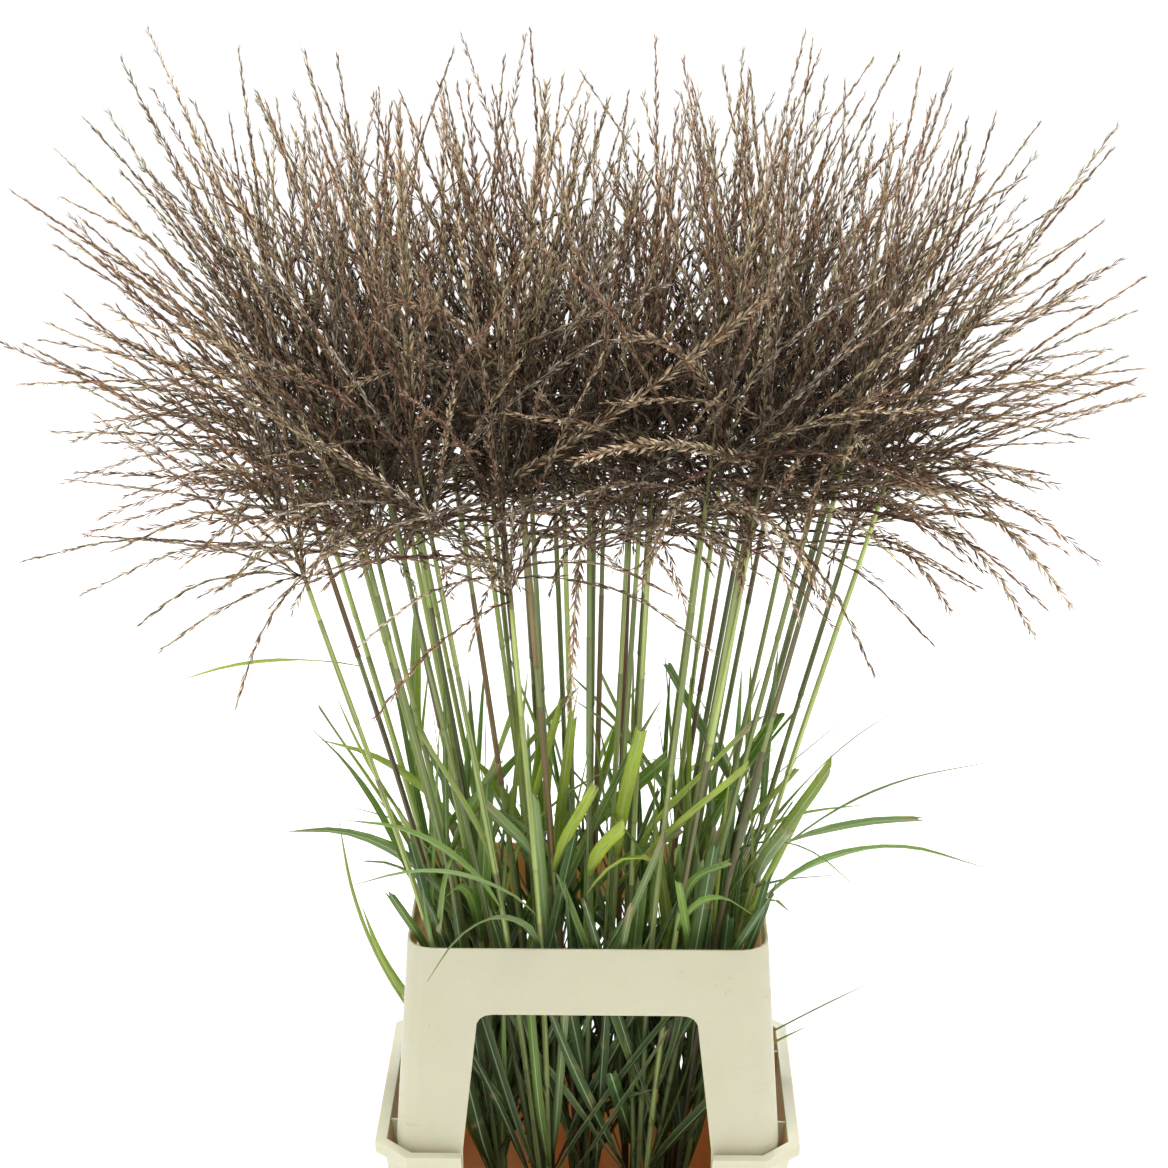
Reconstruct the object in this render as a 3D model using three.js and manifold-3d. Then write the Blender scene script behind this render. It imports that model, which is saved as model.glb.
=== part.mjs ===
// A bucket of cut maiden grass: fifty culms in ten tied bunches stand in water,
// and each ends in an open plume.
// Millimetres, +Z up. The origin is on the floor under the middle of the bucket, and -Y is its front.

import * as THREE from "three";
import { mergeVertices } from "three/addons/utils/BufferGeometryUtils.js";
import Module from "manifold-3d";

const wasm = await Module();
wasm.setup();

const GAP = 0.3; // left between any two pieces that meet
const TURN = 2 * Math.PI;

// Bucket: a tapered box with cut corners, a lip round its top, a wide notch in its front and back,
// and a pocket with a shelf in each corner, in which a foot of the collar stands.
// x and y are half sizes, and cut is what each corner loses.
const BUCKET_HEIGHT = 290;
const BUCKET_BASE = { x: 165, y: 118, cut: 24 };
const BUCKET_RIM = { x: 192, y: 142, cut: 27 };
const BUCKET_WALL = 3;
const BUCKET_FLOOR = 4;
const LIP = { x: 200, y: 150, cut: 32 };
const LIP_DROP = 12;
const NOTCH_SILL = 226;
const NOTCH_HALF = 114;
const NOTCH_CORNER = 14;
const SHELF_THICK = 5;
const SHELF_FROM = { x: 138, y: 92 };
const POCKET_WALL = 2.5;
const POCKET_TOP = 286;
const POCKET_FROM = { x: 112, y: 71 }; // the inner faces of the pocket walls
const POCKET_TO = { x: 152, y: 100 }; // how near the middle the pocket walls reach

// Collar: a sleeve on four corner legs, which keeps the grass upright above the bucket.
const COLLAR_FOOT = { z: 232, x: 176, y: 128 };
const COLLAR_WAIST = { z: BUCKET_HEIGHT, x: 180, y: 134 };
const COLLAR_TOP = { z: 491, x: 167, y: 121 };
const COLLAR_CORNER = 26;
const COLLAR_WALL = 3;
const WINDOW_HEAD = 426;
const WINDOW_HALF_X = { head: 103, waist: 116 }; // front and back windows
const WINDOW_HALF_Y = { head: 62, waist: 75 }; // side windows
const WINDOW_CORNER = 16;

const WATER_LEVEL = 100;
const HOLE_RADIUS = 21; // of the hole in the water round each bunch

// Bunches: where each stands, as a share of the fan's half width and half depth.
const BUNCHES = [
  [-0.84, -0.5],
  [-0.4, -0.76],
  [-0.02, -0.5],
  [0.5, -0.7],
  [0.84, -0.3],
  [-0.88, 0.3],
  [-0.5, 0.74],
  [-0.1, 0.34],
  [0.4, 0.3],
  [0.74, 0.72],
];
const STEMS = 5; // in each bunch
const TIE_Z = 140;
const TIE_RADIUS = 4.9; // from the bunch's middle to each culm's middle, where it is tied
const TIE_BAND = { inner: 11.3, outer: 12.7, height: 5, sides: 6 };

// The fan: how far the outermost bunch is from the middle, at three heights.
const FOOT_Z = BUCKET_FLOOR + 1.5; // its slanting cut end comes lower
const PLUME_Z = 870;
const FAN_X = [[FOOT_Z, 88], [COLLAR_TOP.z, 150], [PLUME_Z, 245]];
const FAN_Y = [[FOOT_Z, 58], [COLLAR_TOP.z, 104], [PLUME_Z, 180]];

// Culms, leaves and plumes
const CULM_LEVELS = [TIE_Z, 480];
const CULM_SIDES = 4;
const CULM_RADIUS = { foot: 4.6, top: 3.3 };
const LEAVES = [1, 1, 0, 1, 0]; // on each stem of a bunch
const LEAF_KEEL = 1.2;
// The leaves that stand out of the rest. The first four pass out through the collar's side windows.
const LONG_LEAVES = [
  { bunch: 5, stem: 2, z: 262, bearing: 165, slope: 0.55, fall: -0.95, length: 330, width: 8, isLong: true },
  { bunch: 5, stem: 4, z: 275, bearing: 160, slope: 0.5, fall: -0.85, length: 220, width: 10, isLong: true },
  { bunch: 9, stem: 4, z: 236, bearing: -6, slope: 0.66, fall: 0.1, length: 245, width: 7, isLong: true },
  { bunch: 9, stem: 0, z: 250, bearing: -12, slope: 0.8, fall: 0.3, length: 175, width: 6, isLong: true },
  { bunch: 5, stem: 3, z: 460, bearing: 190, slope: 1.15, fall: 1.5, length: 215, width: 13, isLong: true },
  { bunch: 0, stem: 2, z: 755, bearing: 180, slope: 0.25, fall: 0.6, length: 165, width: 5, isLong: true },
  { bunch: 5, stem: 2, z: 520, bearing: 185, slope: 0.9, fall: -0.35, length: 205, width: 5, isLong: true },
  { bunch: 2, stem: 4, z: 540, bearing: -8, slope: 1.05, fall: 0.3, length: 205, width: 15, isLong: false },
  { bunch: 4, stem: 4, z: 455, bearing: -24, slope: 1.22, fall: 0.3, length: 200, width: 15, isLong: false },
  { bunch: 4, stem: 0, z: 440, bearing: 4, slope: 1.1, fall: 1, length: 335, width: 9, isLong: true },
  { bunch: 9, stem: 4, z: 420, bearing: 8, slope: 1.15, fall: 1.1, length: 240, width: 10, isLong: true },
  { bunch: 3, stem: 0, z: 500, bearing: -20, slope: 1.2, fall: 0.2, length: 205, width: 5, isLong: true },
  { bunch: 1, stem: 4, z: 455, bearing: -120, slope: 1.25, fall: 2.1, length: 190, width: 11, isLong: true },
];
const RACEMES = 7; // on each plume
const RACEME_RADIUS = { root: 0.9, middle: 2.6, end: 2.2 };
const LINKED = 3; // the raceme that a link stands in for
const AXIS_RADIUS = { root: 2.3, end: 1.3 };
const TRIES = 40;

// Room that stems and leaves leave beside the collar's wall, and beside the pockets in the bucket
const WALL_ROOM = 8;
const POCKET_ROOM = 17;

// Points and vectors as [x, y, z]
const plus = (a, b, k = 1) => [a[0] + k * b[0], a[1] + k * b[1], a[2] + k * b[2]];
const minus = (a, b) => plus(a, b, -1);
const dot = (a, b) => a[0] * b[0] + a[1] * b[1] + a[2] * b[2];
const cross = (a, b) => [a[1] * b[2] - a[2] * b[1], a[2] * b[0] - a[0] * b[2], a[0] * b[1] - a[1] * b[0]];
const unit = (a) => plus([0, 0, 0], a, 1 / Math.hypot(...a));
const mix = (a, b, t) => a + (b - a) * t;
const between = (a, b, t) => plus(a, minus(b, a), t);

// A stream of even random numbers from a whole-number seed
function drawsFrom(seed) {
  let state = seed >>> 0;
  return (low, high) => {
    state = (state + 0x6d2b79f5) >>> 0;
    let t = Math.imul(state ^ (state >>> 15), 1 | state);
    t = (t + Math.imul(t ^ (t >>> 7), 61 | t)) ^ t;
    return low + ((high - low) * ((t ^ (t >>> 14)) >>> 0)) / 4294967296;
  };
}

// One seed for each try at each shape, so that no shape's numbers depend on another's
const KINDS = { culm: 0, leaf: 1, link: 2, raceme: 3 };
const seedFor = (kind, bunch, stem, index, attempt) =>
  attempt + 50 * (index + 50 * (stem + 10 * (bunch + 20 * KINDS[kind])));

// The value at z of the parabola through three [height, value] pairs
function parabola([[a, p], [b, q], [c, r]], z) {
  return (
    (p * (z - b) * (z - c)) / ((a - b) * (a - c)) +
    (q * (z - a) * (z - c)) / ((b - a) * (b - c)) +
    (r * (z - a) * (z - b)) / ((c - a) * (c - b))
  );
}

// Solids

function solidOf(geometry) {
  const bare = geometry.index ? geometry.toNonIndexed() : geometry.clone();
  bare.deleteAttribute("normal");
  bare.deleteAttribute("uv");
  const merged = mergeVertices(bare);
  const vertProperties = merged.attributes.position.array;
  const triVerts = new Uint32Array(merged.index.array);
  return new wasm.Manifold(new wasm.Mesh({ numProp: 3, vertProperties, triVerts }));
}

function meshOf(name, solid, material) {
  const { vertProperties, triVerts } = solid.getMesh();
  const geometry = new THREE.BufferGeometry();
  geometry.setAttribute("position", new THREE.BufferAttribute(vertProperties, 3));
  geometry.setIndex(new THREE.BufferAttribute(triVerts, 1));
  geometry.computeVertexNormals();
  const mesh = new THREE.Mesh(geometry, material);
  mesh.name = name;
  return mesh;
}

const fuse = (solids) => solids.reduce((all, next) => all.add(next));

// A closed solid through a stack of rings of points. A ring of one point closes that end to a tip.
function skin(rings) {
  const positions = [];
  const face = (...corners) => corners.forEach((corner) => positions.push(...corner));
  const cap = (ring, facingUp) => {
    for (let i = 1; i + 1 < ring.length; i++) {
      if (facingUp) face(ring[0], ring[i], ring[i + 1]);
      else face(ring[0], ring[i + 1], ring[i]);
    }
  };
  cap(rings[0], false);
  rings.slice(1).forEach((upper, n) => {
    const lower = rings[n];
    lower.forEach((corner, i) => {
      const next = (i + 1) % lower.length;
      if (upper.length === 1) {
        face(corner, lower[next], upper[0]);
      } else {
        face(corner, lower[next], upper[next]);
        face(corner, upper[next], upper[i]);
      }
    });
  });
  cap(rings.at(-1), true);
  const geometry = new THREE.BufferGeometry();
  geometry.setAttribute("position", new THREE.Float32BufferAttribute(positions, 3));
  return solidOf(geometry);
}

// A skin round a path. Each section is a list of [across, over] offsets, square to the path where it is.
// across is the direction that every section's first offset is measured along.
// The first two sections are parallel, so the faces between them are flat.
function sweep(path, sections, across) {
  const rings = sections.map((section, n) => {
    const i = Math.max(n, 1);
    const along = unit(minus(path[Math.min(i + 1, path.length - 1)], path[i - 1]));
    const over = unit(cross(along, across));
    const side = cross(over, along);
    return section.map(([s, t]) => plus(plus(path[n], side, s), over, t));
  });
  return skin(rings);
}

function polygon(sides, radius, turn = 0) {
  return Array.from({ length: sides }, (_, i) => {
    const angle = turn + (TURN * i) / sides;
    return [radius * Math.cos(angle), radius * Math.sin(angle)];
  });
}

// An outline drawn in x and z, cut through the whole width of the part along +Y, or turned to cut along +X
function cutter(shape, alongX) {
  const geometry = new THREE.ExtrudeGeometry(shape, { depth: 500, bevelEnabled: false, curveSegments: 4 });
  geometry.translate(0, 0, -250);
  geometry.rotateX(Math.PI / 2);
  if (alongX) geometry.rotateZ(Math.PI / 2);
  return solidOf(geometry);
}

// Bucket

const cutBox = ({ x, y, cut }, inset, z) => {
  const [a, b, c] = [x - inset, y - inset, cut - (2 - Math.SQRT2) * inset];
  const corners = [
    [a, c - b],
    [a, b - c],
    [a - c, b],
    [c - a, b],
    [-a, b - c],
    [-a, c - b],
    [c - a, -b],
    [a - c, -b],
  ];
  return corners.map(([px, py]) => [px, py, z]);
};

// The bucket's outline at a height, inset from its outer face
function bucketRing(z, inset) {
  const t = z / BUCKET_HEIGHT;
  const size = {};
  for (const key of ["x", "y", "cut"]) size[key] = mix(BUCKET_BASE[key], BUCKET_RIM[key], t);
  return cutBox(size, inset, z);
}

function notchShape() {
  const half = NOTCH_HALF;
  const above = BUCKET_HEIGHT + 20;
  const shape = new THREE.Shape();
  shape.moveTo(half + 4, above);
  shape.lineTo(-half - 4, above);
  shape.lineTo(-half, NOTCH_SILL + NOTCH_CORNER);
  shape.quadraticCurveTo(-half, NOTCH_SILL, NOTCH_CORNER - half, NOTCH_SILL);
  shape.lineTo(half - NOTCH_CORNER, NOTCH_SILL);
  shape.quadraticCurveTo(half, NOTCH_SILL, half, NOTCH_SILL + NOTCH_CORNER);
  return shape;
}

// A box with its middle on the Z axis
function block(x, y, low, high) {
  return skin([low, high].map((z) => [[x, -y, z], [x, y, z], [-x, y, z], [-x, -y, z]]));
}

// The shelves and walls of all four corner pockets
function pocketSolid() {
  const shelfTop = COLLAR_FOOT.z - GAP;
  const inBucket = skin([bucketRing(shelfTop - SHELF_THICK, 1), bucketRing(POCKET_TOP, 1)]);
  const [low, high] = [shelfTop - SHELF_THICK - 10, POCKET_TOP + 10];
  const less = (x, y) => block(x, y, low - 1, high + 1);
  const across = block(400, POCKET_FROM.y, low, high).subtract(less(401, POCKET_FROM.y - POCKET_WALL));
  const along = block(POCKET_FROM.x, 400, low, high).subtract(less(POCKET_FROM.x - POCKET_WALL, 401));
  const shelf = block(400, 400, low, shelfTop)
    .subtract(less(SHELF_FROM.x, 401))
    .subtract(less(401, SHELF_FROM.y));
  const walls = across.subtract(less(POCKET_TO.x, 401)).add(along.subtract(less(401, POCKET_TO.y)));
  return shelf.add(walls).intersect(inBucket);
}

function bucketSolid() {
  const body = skin([bucketRing(0, 0), bucketRing(BUCKET_HEIGHT, 0)]);
  const lip = skin([cutBox(LIP, 0, BUCKET_HEIGHT - LIP_DROP), cutBox(LIP, 0, BUCKET_HEIGHT)]);
  const hollow = skin([bucketRing(BUCKET_FLOOR, BUCKET_WALL), bucketRing(BUCKET_HEIGHT + 5, BUCKET_WALL)]);
  return body.add(lip).subtract(hollow).add(pocketSolid()).subtract(cutter(notchShape(), false));
}

// Collar

function collarSize(z) {
  const [low, high] = z < COLLAR_WAIST.z ? [COLLAR_FOOT, COLLAR_WAIST] : [COLLAR_WAIST, COLLAR_TOP];
  const t = (z - low.z) / (high.z - low.z);
  return { x: mix(low.x, high.x, t), y: mix(low.y, high.y, t) };
}

function collarRing(z, inset) {
  const { x, y } = collarSize(z);
  const radius = COLLAR_CORNER - inset;
  const [cx, cy] = [x - COLLAR_CORNER, y - COLLAR_CORNER];
  const ring = [];
  [[1, 1], [-1, 1], [-1, -1], [1, -1]].forEach(([sx, sy], quarter) => {
    for (let i = 0; i <= 4; i++) {
      const angle = ((quarter + i / 4) * TURN) / 4;
      ring.push([sx * cx + radius * Math.cos(angle), sy * cy + radius * Math.sin(angle), z]);
    }
  });
  return ring;
}

function windowShape({ head, waist }) {
  const low = COLLAR_FOOT.z - 20;
  const shape = new THREE.Shape();
  shape.moveTo(-waist, low);
  shape.lineTo(waist, low);
  shape.lineTo(waist, COLLAR_WAIST.z);
  shape.lineTo(head, WINDOW_HEAD - WINDOW_CORNER);
  shape.quadraticCurveTo(head, WINDOW_HEAD, head - WINDOW_CORNER, WINDOW_HEAD);
  shape.lineTo(WINDOW_CORNER - head, WINDOW_HEAD);
  shape.quadraticCurveTo(-head, WINDOW_HEAD, -head, WINDOW_HEAD - WINDOW_CORNER);
  shape.lineTo(-waist, COLLAR_WAIST.z);
  return shape;
}

function collarSolid() {
  const levels = [COLLAR_FOOT.z, COLLAR_WAIST.z, COLLAR_TOP.z];
  const past = [-1, 0, 1];
  const outside = skin(levels.map((z) => collarRing(z, 0)));
  const inside = skin(levels.map((z, i) => collarRing(z + past[i], COLLAR_WALL)));
  return outside
    .subtract(inside)
    .subtract(cutter(windowShape(WINDOW_HALF_X), false))
    .subtract(cutter(windowShape(WINDOW_HALF_Y), true));
}

// Room: what is already placed, as rods, and whether a new strand would touch a rod of another node.
// A strand that avoids its own node's rods too may meet them only where one of the two is at its root.

const rods = [];

function place(node, path, reach) {
  for (let i = 0; i + 1 < path.length; i++) {
    rods.push({ node, a: path[i], b: path[i + 1], reach, isRoot: i === 0 });
  }
}

// The shortest distance between segments a-b and c-d
function distance(a, b, c, d) {
  const [u, v, w] = [minus(b, a), minus(d, c), minus(a, c)];
  const [uu, uv, vv, uw, vw] = [dot(u, u), dot(u, v), dot(v, v), dot(u, w), dot(v, w)];
  const clamp = (x) => Math.min(1, Math.max(0, x));
  const spread = uu * vv - uv * uv;
  let s = spread > 1e-9 ? clamp((uv * vw - vv * uw) / spread) : 0;
  const t = clamp((uv * s + vw) / vv);
  s = clamp((uv * t - uw) / uu);
  return Math.hypot(...plus(plus(w, u, s), v, -t));
}

function isClear(node, path, reach, avoidsOwn = false) {
  for (let i = 0; i + 1 < path.length; i++) {
    const [a, b] = [path[i], path[i + 1]];
    for (const rod of rods) {
      if (rod.node === node && (!avoidsOwn || rod.isRoot || i === 0)) continue;
      const room = reach + rod.reach + GAP;
      const far = [0, 1, 2].some(
        (k) =>
          Math.min(a[k], b[k]) - room > Math.max(rod.a[k], rod.b[k]) ||
          Math.max(a[k], b[k]) + room < Math.min(rod.a[k], rod.b[k]),
      );
      if (!far && distance(a, b, rod.a, rod.b) < room) return false;
    }
  }
  return true;
}

// Whether a point is clear of the collar and the bucket: above them, inside, outside,
// or in the back half of a side window
function isFree([x, y, z], reach) {
  if (z > COLLAR_TOP.z + reach) return true;
  const size = collarSize(Math.max(z, COLLAR_FOOT.z));
  const room = (z > WINDOW_HEAD ? 1 : WALL_ROOM) + (z > BUCKET_HEIGHT ? 0 : POCKET_ROOM);
  const within = COLLAR_WALL + reach + room;
  if (Math.abs(x) < size.x - within && Math.abs(y) < size.y - within) return true;
  if (z < BUCKET_HEIGHT + reach + 2) return false;
  if (Math.abs(x) > size.x + reach + 1 || Math.abs(y) > size.y + reach + 1) return true;
  return y > 31 + reach && y < WINDOW_HALF_Y.head - reach && z < WINDOW_HEAD - reach;
}

function keepsFree(path, reach) {
  for (let i = 0; i + 1 < path.length; i++) {
    const steps = Math.ceil(Math.hypot(...minus(path[i + 1], path[i])) / 3);
    for (let n = 0; n <= steps; n++) {
      if (!isFree(between(path[i], path[i + 1], n / steps), reach)) return false;
    }
  }
  return true;
}

// Draws a shape again and again, with a new seed each time, until it is clear
function grow(kind, bunch, stem, index, shape, test) {
  for (let attempt = 0; attempt < TRIES; attempt++) {
    const grown = shape(drawsFrom(seedFor(kind, bunch, stem, index, attempt)));
    if (test(grown)) return grown;
  }
  return null;
}

// Culms

function culmPath(bunch, stem, draw) {
  const angle = (TURN * (stem + 0.37 * bunch)) / STEMS;
  const swing = draw(-0.3, 0.3);
  const openness = draw(0.05, 0.11);
  const top = draw(PLUME_Z - 50, PLUME_Z + 70);
  return [FOOT_Z, ...CULM_LEVELS, top].map((z) => {
    const above = z - TIE_Z;
    const turn = angle + (above > 0 ? swing : 0);
    const out = TIE_RADIUS + (above > 0 ? openness * above : -0.04 * above);
    return plus(bunchMiddle(bunch, z), [Math.cos(turn), Math.sin(turn), 0], out);
  });
}

const culmRadius = (z) => mix(CULM_RADIUS.foot, CULM_RADIUS.top, z / PLUME_Z);

const culmSolid = (path) => sweep(path, path.map(([, , z]) => polygon(CULM_SIDES, culmRadius(z))), [1, 0, 0]);

// Where a bunch's middle is at a height
const bunchMiddle = (bunch, z) => {
  const [x, y] = BUNCHES[bunch];
  return [x * parabola(FAN_X, z), y * parabola(FAN_Y, z), z];
};

// The hole that a bunch stands in, from below the water to above it
function waterHole(bunch) {
  const ends = [BUCKET_FLOOR - 2, WATER_LEVEL + 2].map((z) => bunchMiddle(bunch, z));
  return sweep(ends, ends.map(() => polygon(6, HOLE_RADIUS)), [1, 0, 0]);
}

// Strands: racemes and leaves, which rise and then nod in one upright plane

// Points along a strand that starts at root with a slope and a bearing, and whose slope falls steadily.
// The shares of its length where its bends are go in shares, from 0 to 1.
function nod(root, bearing, slope, fall, length, shares) {
  const path = [root];
  for (let i = 1; i < shares.length; i++) {
    const now = slope - (fall * (shares[i] + shares[i - 1])) / 2;
    const step = [Math.cos(bearing) * Math.cos(now), Math.sin(bearing) * Math.cos(now), Math.sin(now)];
    path.push(plus(path[i - 1], step, length * (shares[i] - shares[i - 1])));
  }
  return path;
}

const sideOf = (path) => {
  const [dx, dy] = minus(path.at(-1), path[0]);
  return unit([-dy, dx, 0]);
};

// Leaves

function leafShape(draw) {
  const z = draw(220, 560);
  const isLong = draw(0, 1) < 0.35;
  const length = isLong ? draw(230, 340) : draw(110, 200);
  const bearing = draw(0, 360);
  const slope = draw(1, 1.4);
  const fall = isLong ? draw(0.5, 1.8) : draw(0, 0.8);
  return { z, bearing, slope, fall, length, width: draw(8, 13), isLong };
}

function leafOn(culm, { z, bearing, slope, fall, length, width, isLong }) {
  const shares = isLong ? [0, 0.2, 0.5, 0.75, 1] : [0, 0.3, 1];
  const path = nod(pointAt(culm, z), THREE.MathUtils.degToRad(bearing), slope, fall, length, shares);
  return { path, width, isLong };
}

function pointAt(path, z) {
  const i = Math.max(1, path.findIndex((p) => p[2] >= z));
  return between(path[i - 1], path[i], (z - path[i - 1][2]) / (path[i][2] - path[i - 1][2]));
}

function leafSolid({ path, width, isLong }) {
  const blade = (w) => [[-w / 2, 0], [0, -LEAF_KEEL], [w / 2, 0]];
  const wide = blade(width);
  const tapered = [blade(4), wide, wide, blade(width * 0.8), [[0, 0]]];
  const cutOff = [blade(4), wide, blade(width * 0.5)];
  return sweep(path, isLong ? tapered : cutOff, sideOf(path));
}

// Plumes

function plumeAxis(culm, draw) {
  const along = unit(minus(culm.at(-1), culm.at(-2)));
  const root = plus(culm.at(-1), along, GAP);
  return { path: [root, plus(root, along, draw(95, 135))], turn: draw(0, TURN / 3) };
}

const axisSolid = ({ path, turn }) =>
  sweep(path, [polygon(3, AXIS_RADIUS.root, turn), polygon(3, AXIS_RADIUS.end, turn)], [1, 0, 0]);

// A raceme that leaves one of the axis's three faces at a share of its height. The lowest spread widest.
function racemePath({ path: [low, high], turn }, index, draw) {
  const share = (index + 0.7) / RACEMES;
  const root = between(low, high, 0.9 * share + draw(-0.03, 0.03));
  const along = unit(minus(high, low));
  const spread = mix(1.05, 0.2, share) + draw(-0.1, 0.15);
  const angle = turn + (TURN * (index + 0.5)) / 3 + draw(-0.5, 0.5);
  const over = unit(cross(along, [1, 0, 0]));
  const side = cross(over, along);
  const away = plus(plus([0, 0, 0], side, Math.cos(angle)), over, Math.sin(angle));
  const start = unit(plus(plus([0, 0, 0], along, Math.cos(spread)), away, Math.sin(spread)));
  const bearing = Math.atan2(start[1], start[0]);
  const fall = draw(0.05, 0.4) + 0.6 * (1 - share);
  return nod(root, bearing, Math.asin(start[2]), fall, draw(200, 290), [0, 0.16, 0.6, 1]);
}

// A short raceme whose tip is caught in another plume's axis, and holds the two together
function linkPath({ path: [low, high] }, { path: [otherLow, otherHigh] }, draw) {
  const root = between(low, high, draw(0.1, 0.6));
  const tip = between(otherLow, otherHigh, draw(0.4, 0.95));
  return [root, between(root, tip, 0.3), between(root, tip, 0.65), tip];
}

function racemeSolid(path) {
  const { root, middle, end } = RACEME_RADIUS;
  return sweep(path, [polygon(3, root), polygon(3, middle), polygon(3, end), [[0, 0]]], sideOf(path));
}

// Growth: all culms first, then every plume's axis, the leaves, and the racemes in turn

const stems = Array.from({ length: STEMS }, (_, stem) => stem);
const eachStem = (make) => BUNCHES.map((_, bunch) => stems.map((stem) => make(bunch, stem)));
const nodeName = (bunch, kind) => `bunch_${String(bunch + 1).padStart(2, "0")}_${kind}`;
const culmNode = (bunch) => nodeName(bunch, "culms");
const plumeNode = (bunch) => nodeName(bunch, "plumes");

const culms = eachStem((bunch, stem) => {
  const node = culmNode(bunch);
  const test = (path) => keepsFree(path, CULM_RADIUS.foot) && isClear(node, path, CULM_RADIUS.foot);
  const path = grow("culm", bunch, stem, 0, (draw) => culmPath(bunch, stem, draw), test);
  place(node, path, CULM_RADIUS.foot);
  return path;
});

const axes = eachStem((bunch, stem) => {
  const axis = plumeAxis(culms[bunch][stem], drawsFrom(seedFor("culm", bunch, stem, 1, 0)));
  place(plumeNode(bunch), axis.path, AXIS_RADIUS.root);
  return axis;
});

const links = eachStem((bunch, stem) => {
  if (stem === 0) return null;
  const node = plumeNode(bunch);
  const shape = (draw) => linkPath(axes[bunch][stem], axes[bunch][Math.floor(draw(0, stem))], draw);
  const path = grow("link", bunch, stem, 0, shape, (p) => isClear(node, p, RACEME_RADIUS.middle));
  place(node, path, RACEME_RADIUS.middle);
  return path;
});

// Adds a leaf, unless none of its tries is clear
function addLeaf(bunch, stem, index, shape) {
  const node = culmNode(bunch);
  const test = ({ path, width }) => keepsFree(path, width / 2) && isClear(node, path, width / 2, true);
  const leaf = grow("leaf", bunch, stem, index, (draw) => leafOn(culms[bunch][stem], shape(draw)), test);
  if (!leaf) return;
  place(node, leaf.path, leaf.width / 2);
  leaves[bunch][stem].push(leaf);
}

const leaves = eachStem(() => []);
LONG_LEAVES.forEach((leaf, index) => {
  const sway = (draw) => ({ ...leaf, bearing: leaf.bearing + draw(-15, 15), z: leaf.z + draw(-25, 25) });
  addLeaf(leaf.bunch, leaf.stem, 10 + index, sway);
});
eachStem((bunch, stem) => {
  for (let index = 0; index < LEAVES[stem]; index++) {
    addLeaf(bunch, stem, index, leafShape);
  }
});

const racemes = eachStem(() => []);
for (let index = 0; index < RACEMES; index++) {
  eachStem((bunch, stem) => {
    if (links[bunch][stem] && index === LINKED) return;
    const node = plumeNode(bunch);
    const shape = (draw) => racemePath(axes[bunch][stem], index, draw);
    const test = (p) => isClear(node, p, RACEME_RADIUS.middle, true);
    const path = grow("raceme", bunch, stem, index, shape, test);
    if (!path) return;
    place(node, path, RACEME_RADIUS.middle);
    racemes[bunch][stem].push(path);
  });
}

// Ties and water

function tieMesh(bunch, material) {
  const { inner, outer, height, sides } = TIE_BAND;
  const profile = [[inner, 0], [outer, 0], [outer, height], [inner, height], [inner, 0]];
  const geometry = new THREE.LatheGeometry(profile.map(([r, y]) => new THREE.Vector2(r, y)), sides);
  geometry.rotateX(Math.PI / 2);
  const mesh = meshOf(nodeName(bunch, "tie"), solidOf(geometry), material);
  mesh.position.set(...bunchMiddle(bunch, TIE_Z - height / 2));
  return mesh;
}

function waterSolid() {
  const levels = [BUCKET_FLOOR + GAP, WATER_LEVEL];
  const body = skin(levels.map((z) => bucketRing(z, BUCKET_WALL + GAP)));
  return body.subtract(fuse(BUNCHES.map((_, bunch) => waterHole(bunch))));
}

// Materials

const matte = (color, roughness) => new THREE.MeshStandardMaterial({ color, roughness, metalness: 0 });
const bucketPlastic = matte(0xeeeed9, 0.5);
const collarPlastic = matte(0xd9d5b9, 0.55);
const culmGreen = matte(0x7f9450, 0.6);
const plumeBrown = matte(0x8a7660, 0.85);
const bandTan = matte(0xc8a674, 0.7);
const clearWater = new THREE.MeshStandardMaterial({
  color: 0xc4d6d0,
  roughness: 0.05,
  transparent: true,
  opacity: 0.4,
});

const part = new THREE.Group();
part.add(meshOf("bucket", bucketSolid(), bucketPlastic));
part.add(meshOf("collar", collarSolid(), collarPlastic));
part.add(meshOf("water", waterSolid(), clearWater));
BUNCHES.forEach((_, bunch) => {
  const stalks = culms[bunch].map((path) => culmSolid(path));
  const blades = leaves[bunch].flat().map(leafSolid);
  part.add(meshOf(culmNode(bunch), fuse([...stalks, ...blades]), culmGreen));
  const spikes = [...links[bunch].slice(1), ...racemes[bunch].flat()].map(racemeSolid);
  part.add(meshOf(plumeNode(bunch), fuse([...axes[bunch].map(axisSolid), ...spikes]), plumeBrown));
  part.add(tieMesh(bunch, bandTan));
});

export default part;
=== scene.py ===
"""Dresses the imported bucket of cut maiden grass.

The grass follows the same growing rule, with the same seeds, as its solids do, so each of their culms, leaves
and racemes is dressed where it stands. Further racemes and blades then grow by the same rule, and every
raceme gets its spikelets.
"""

import math

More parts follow.
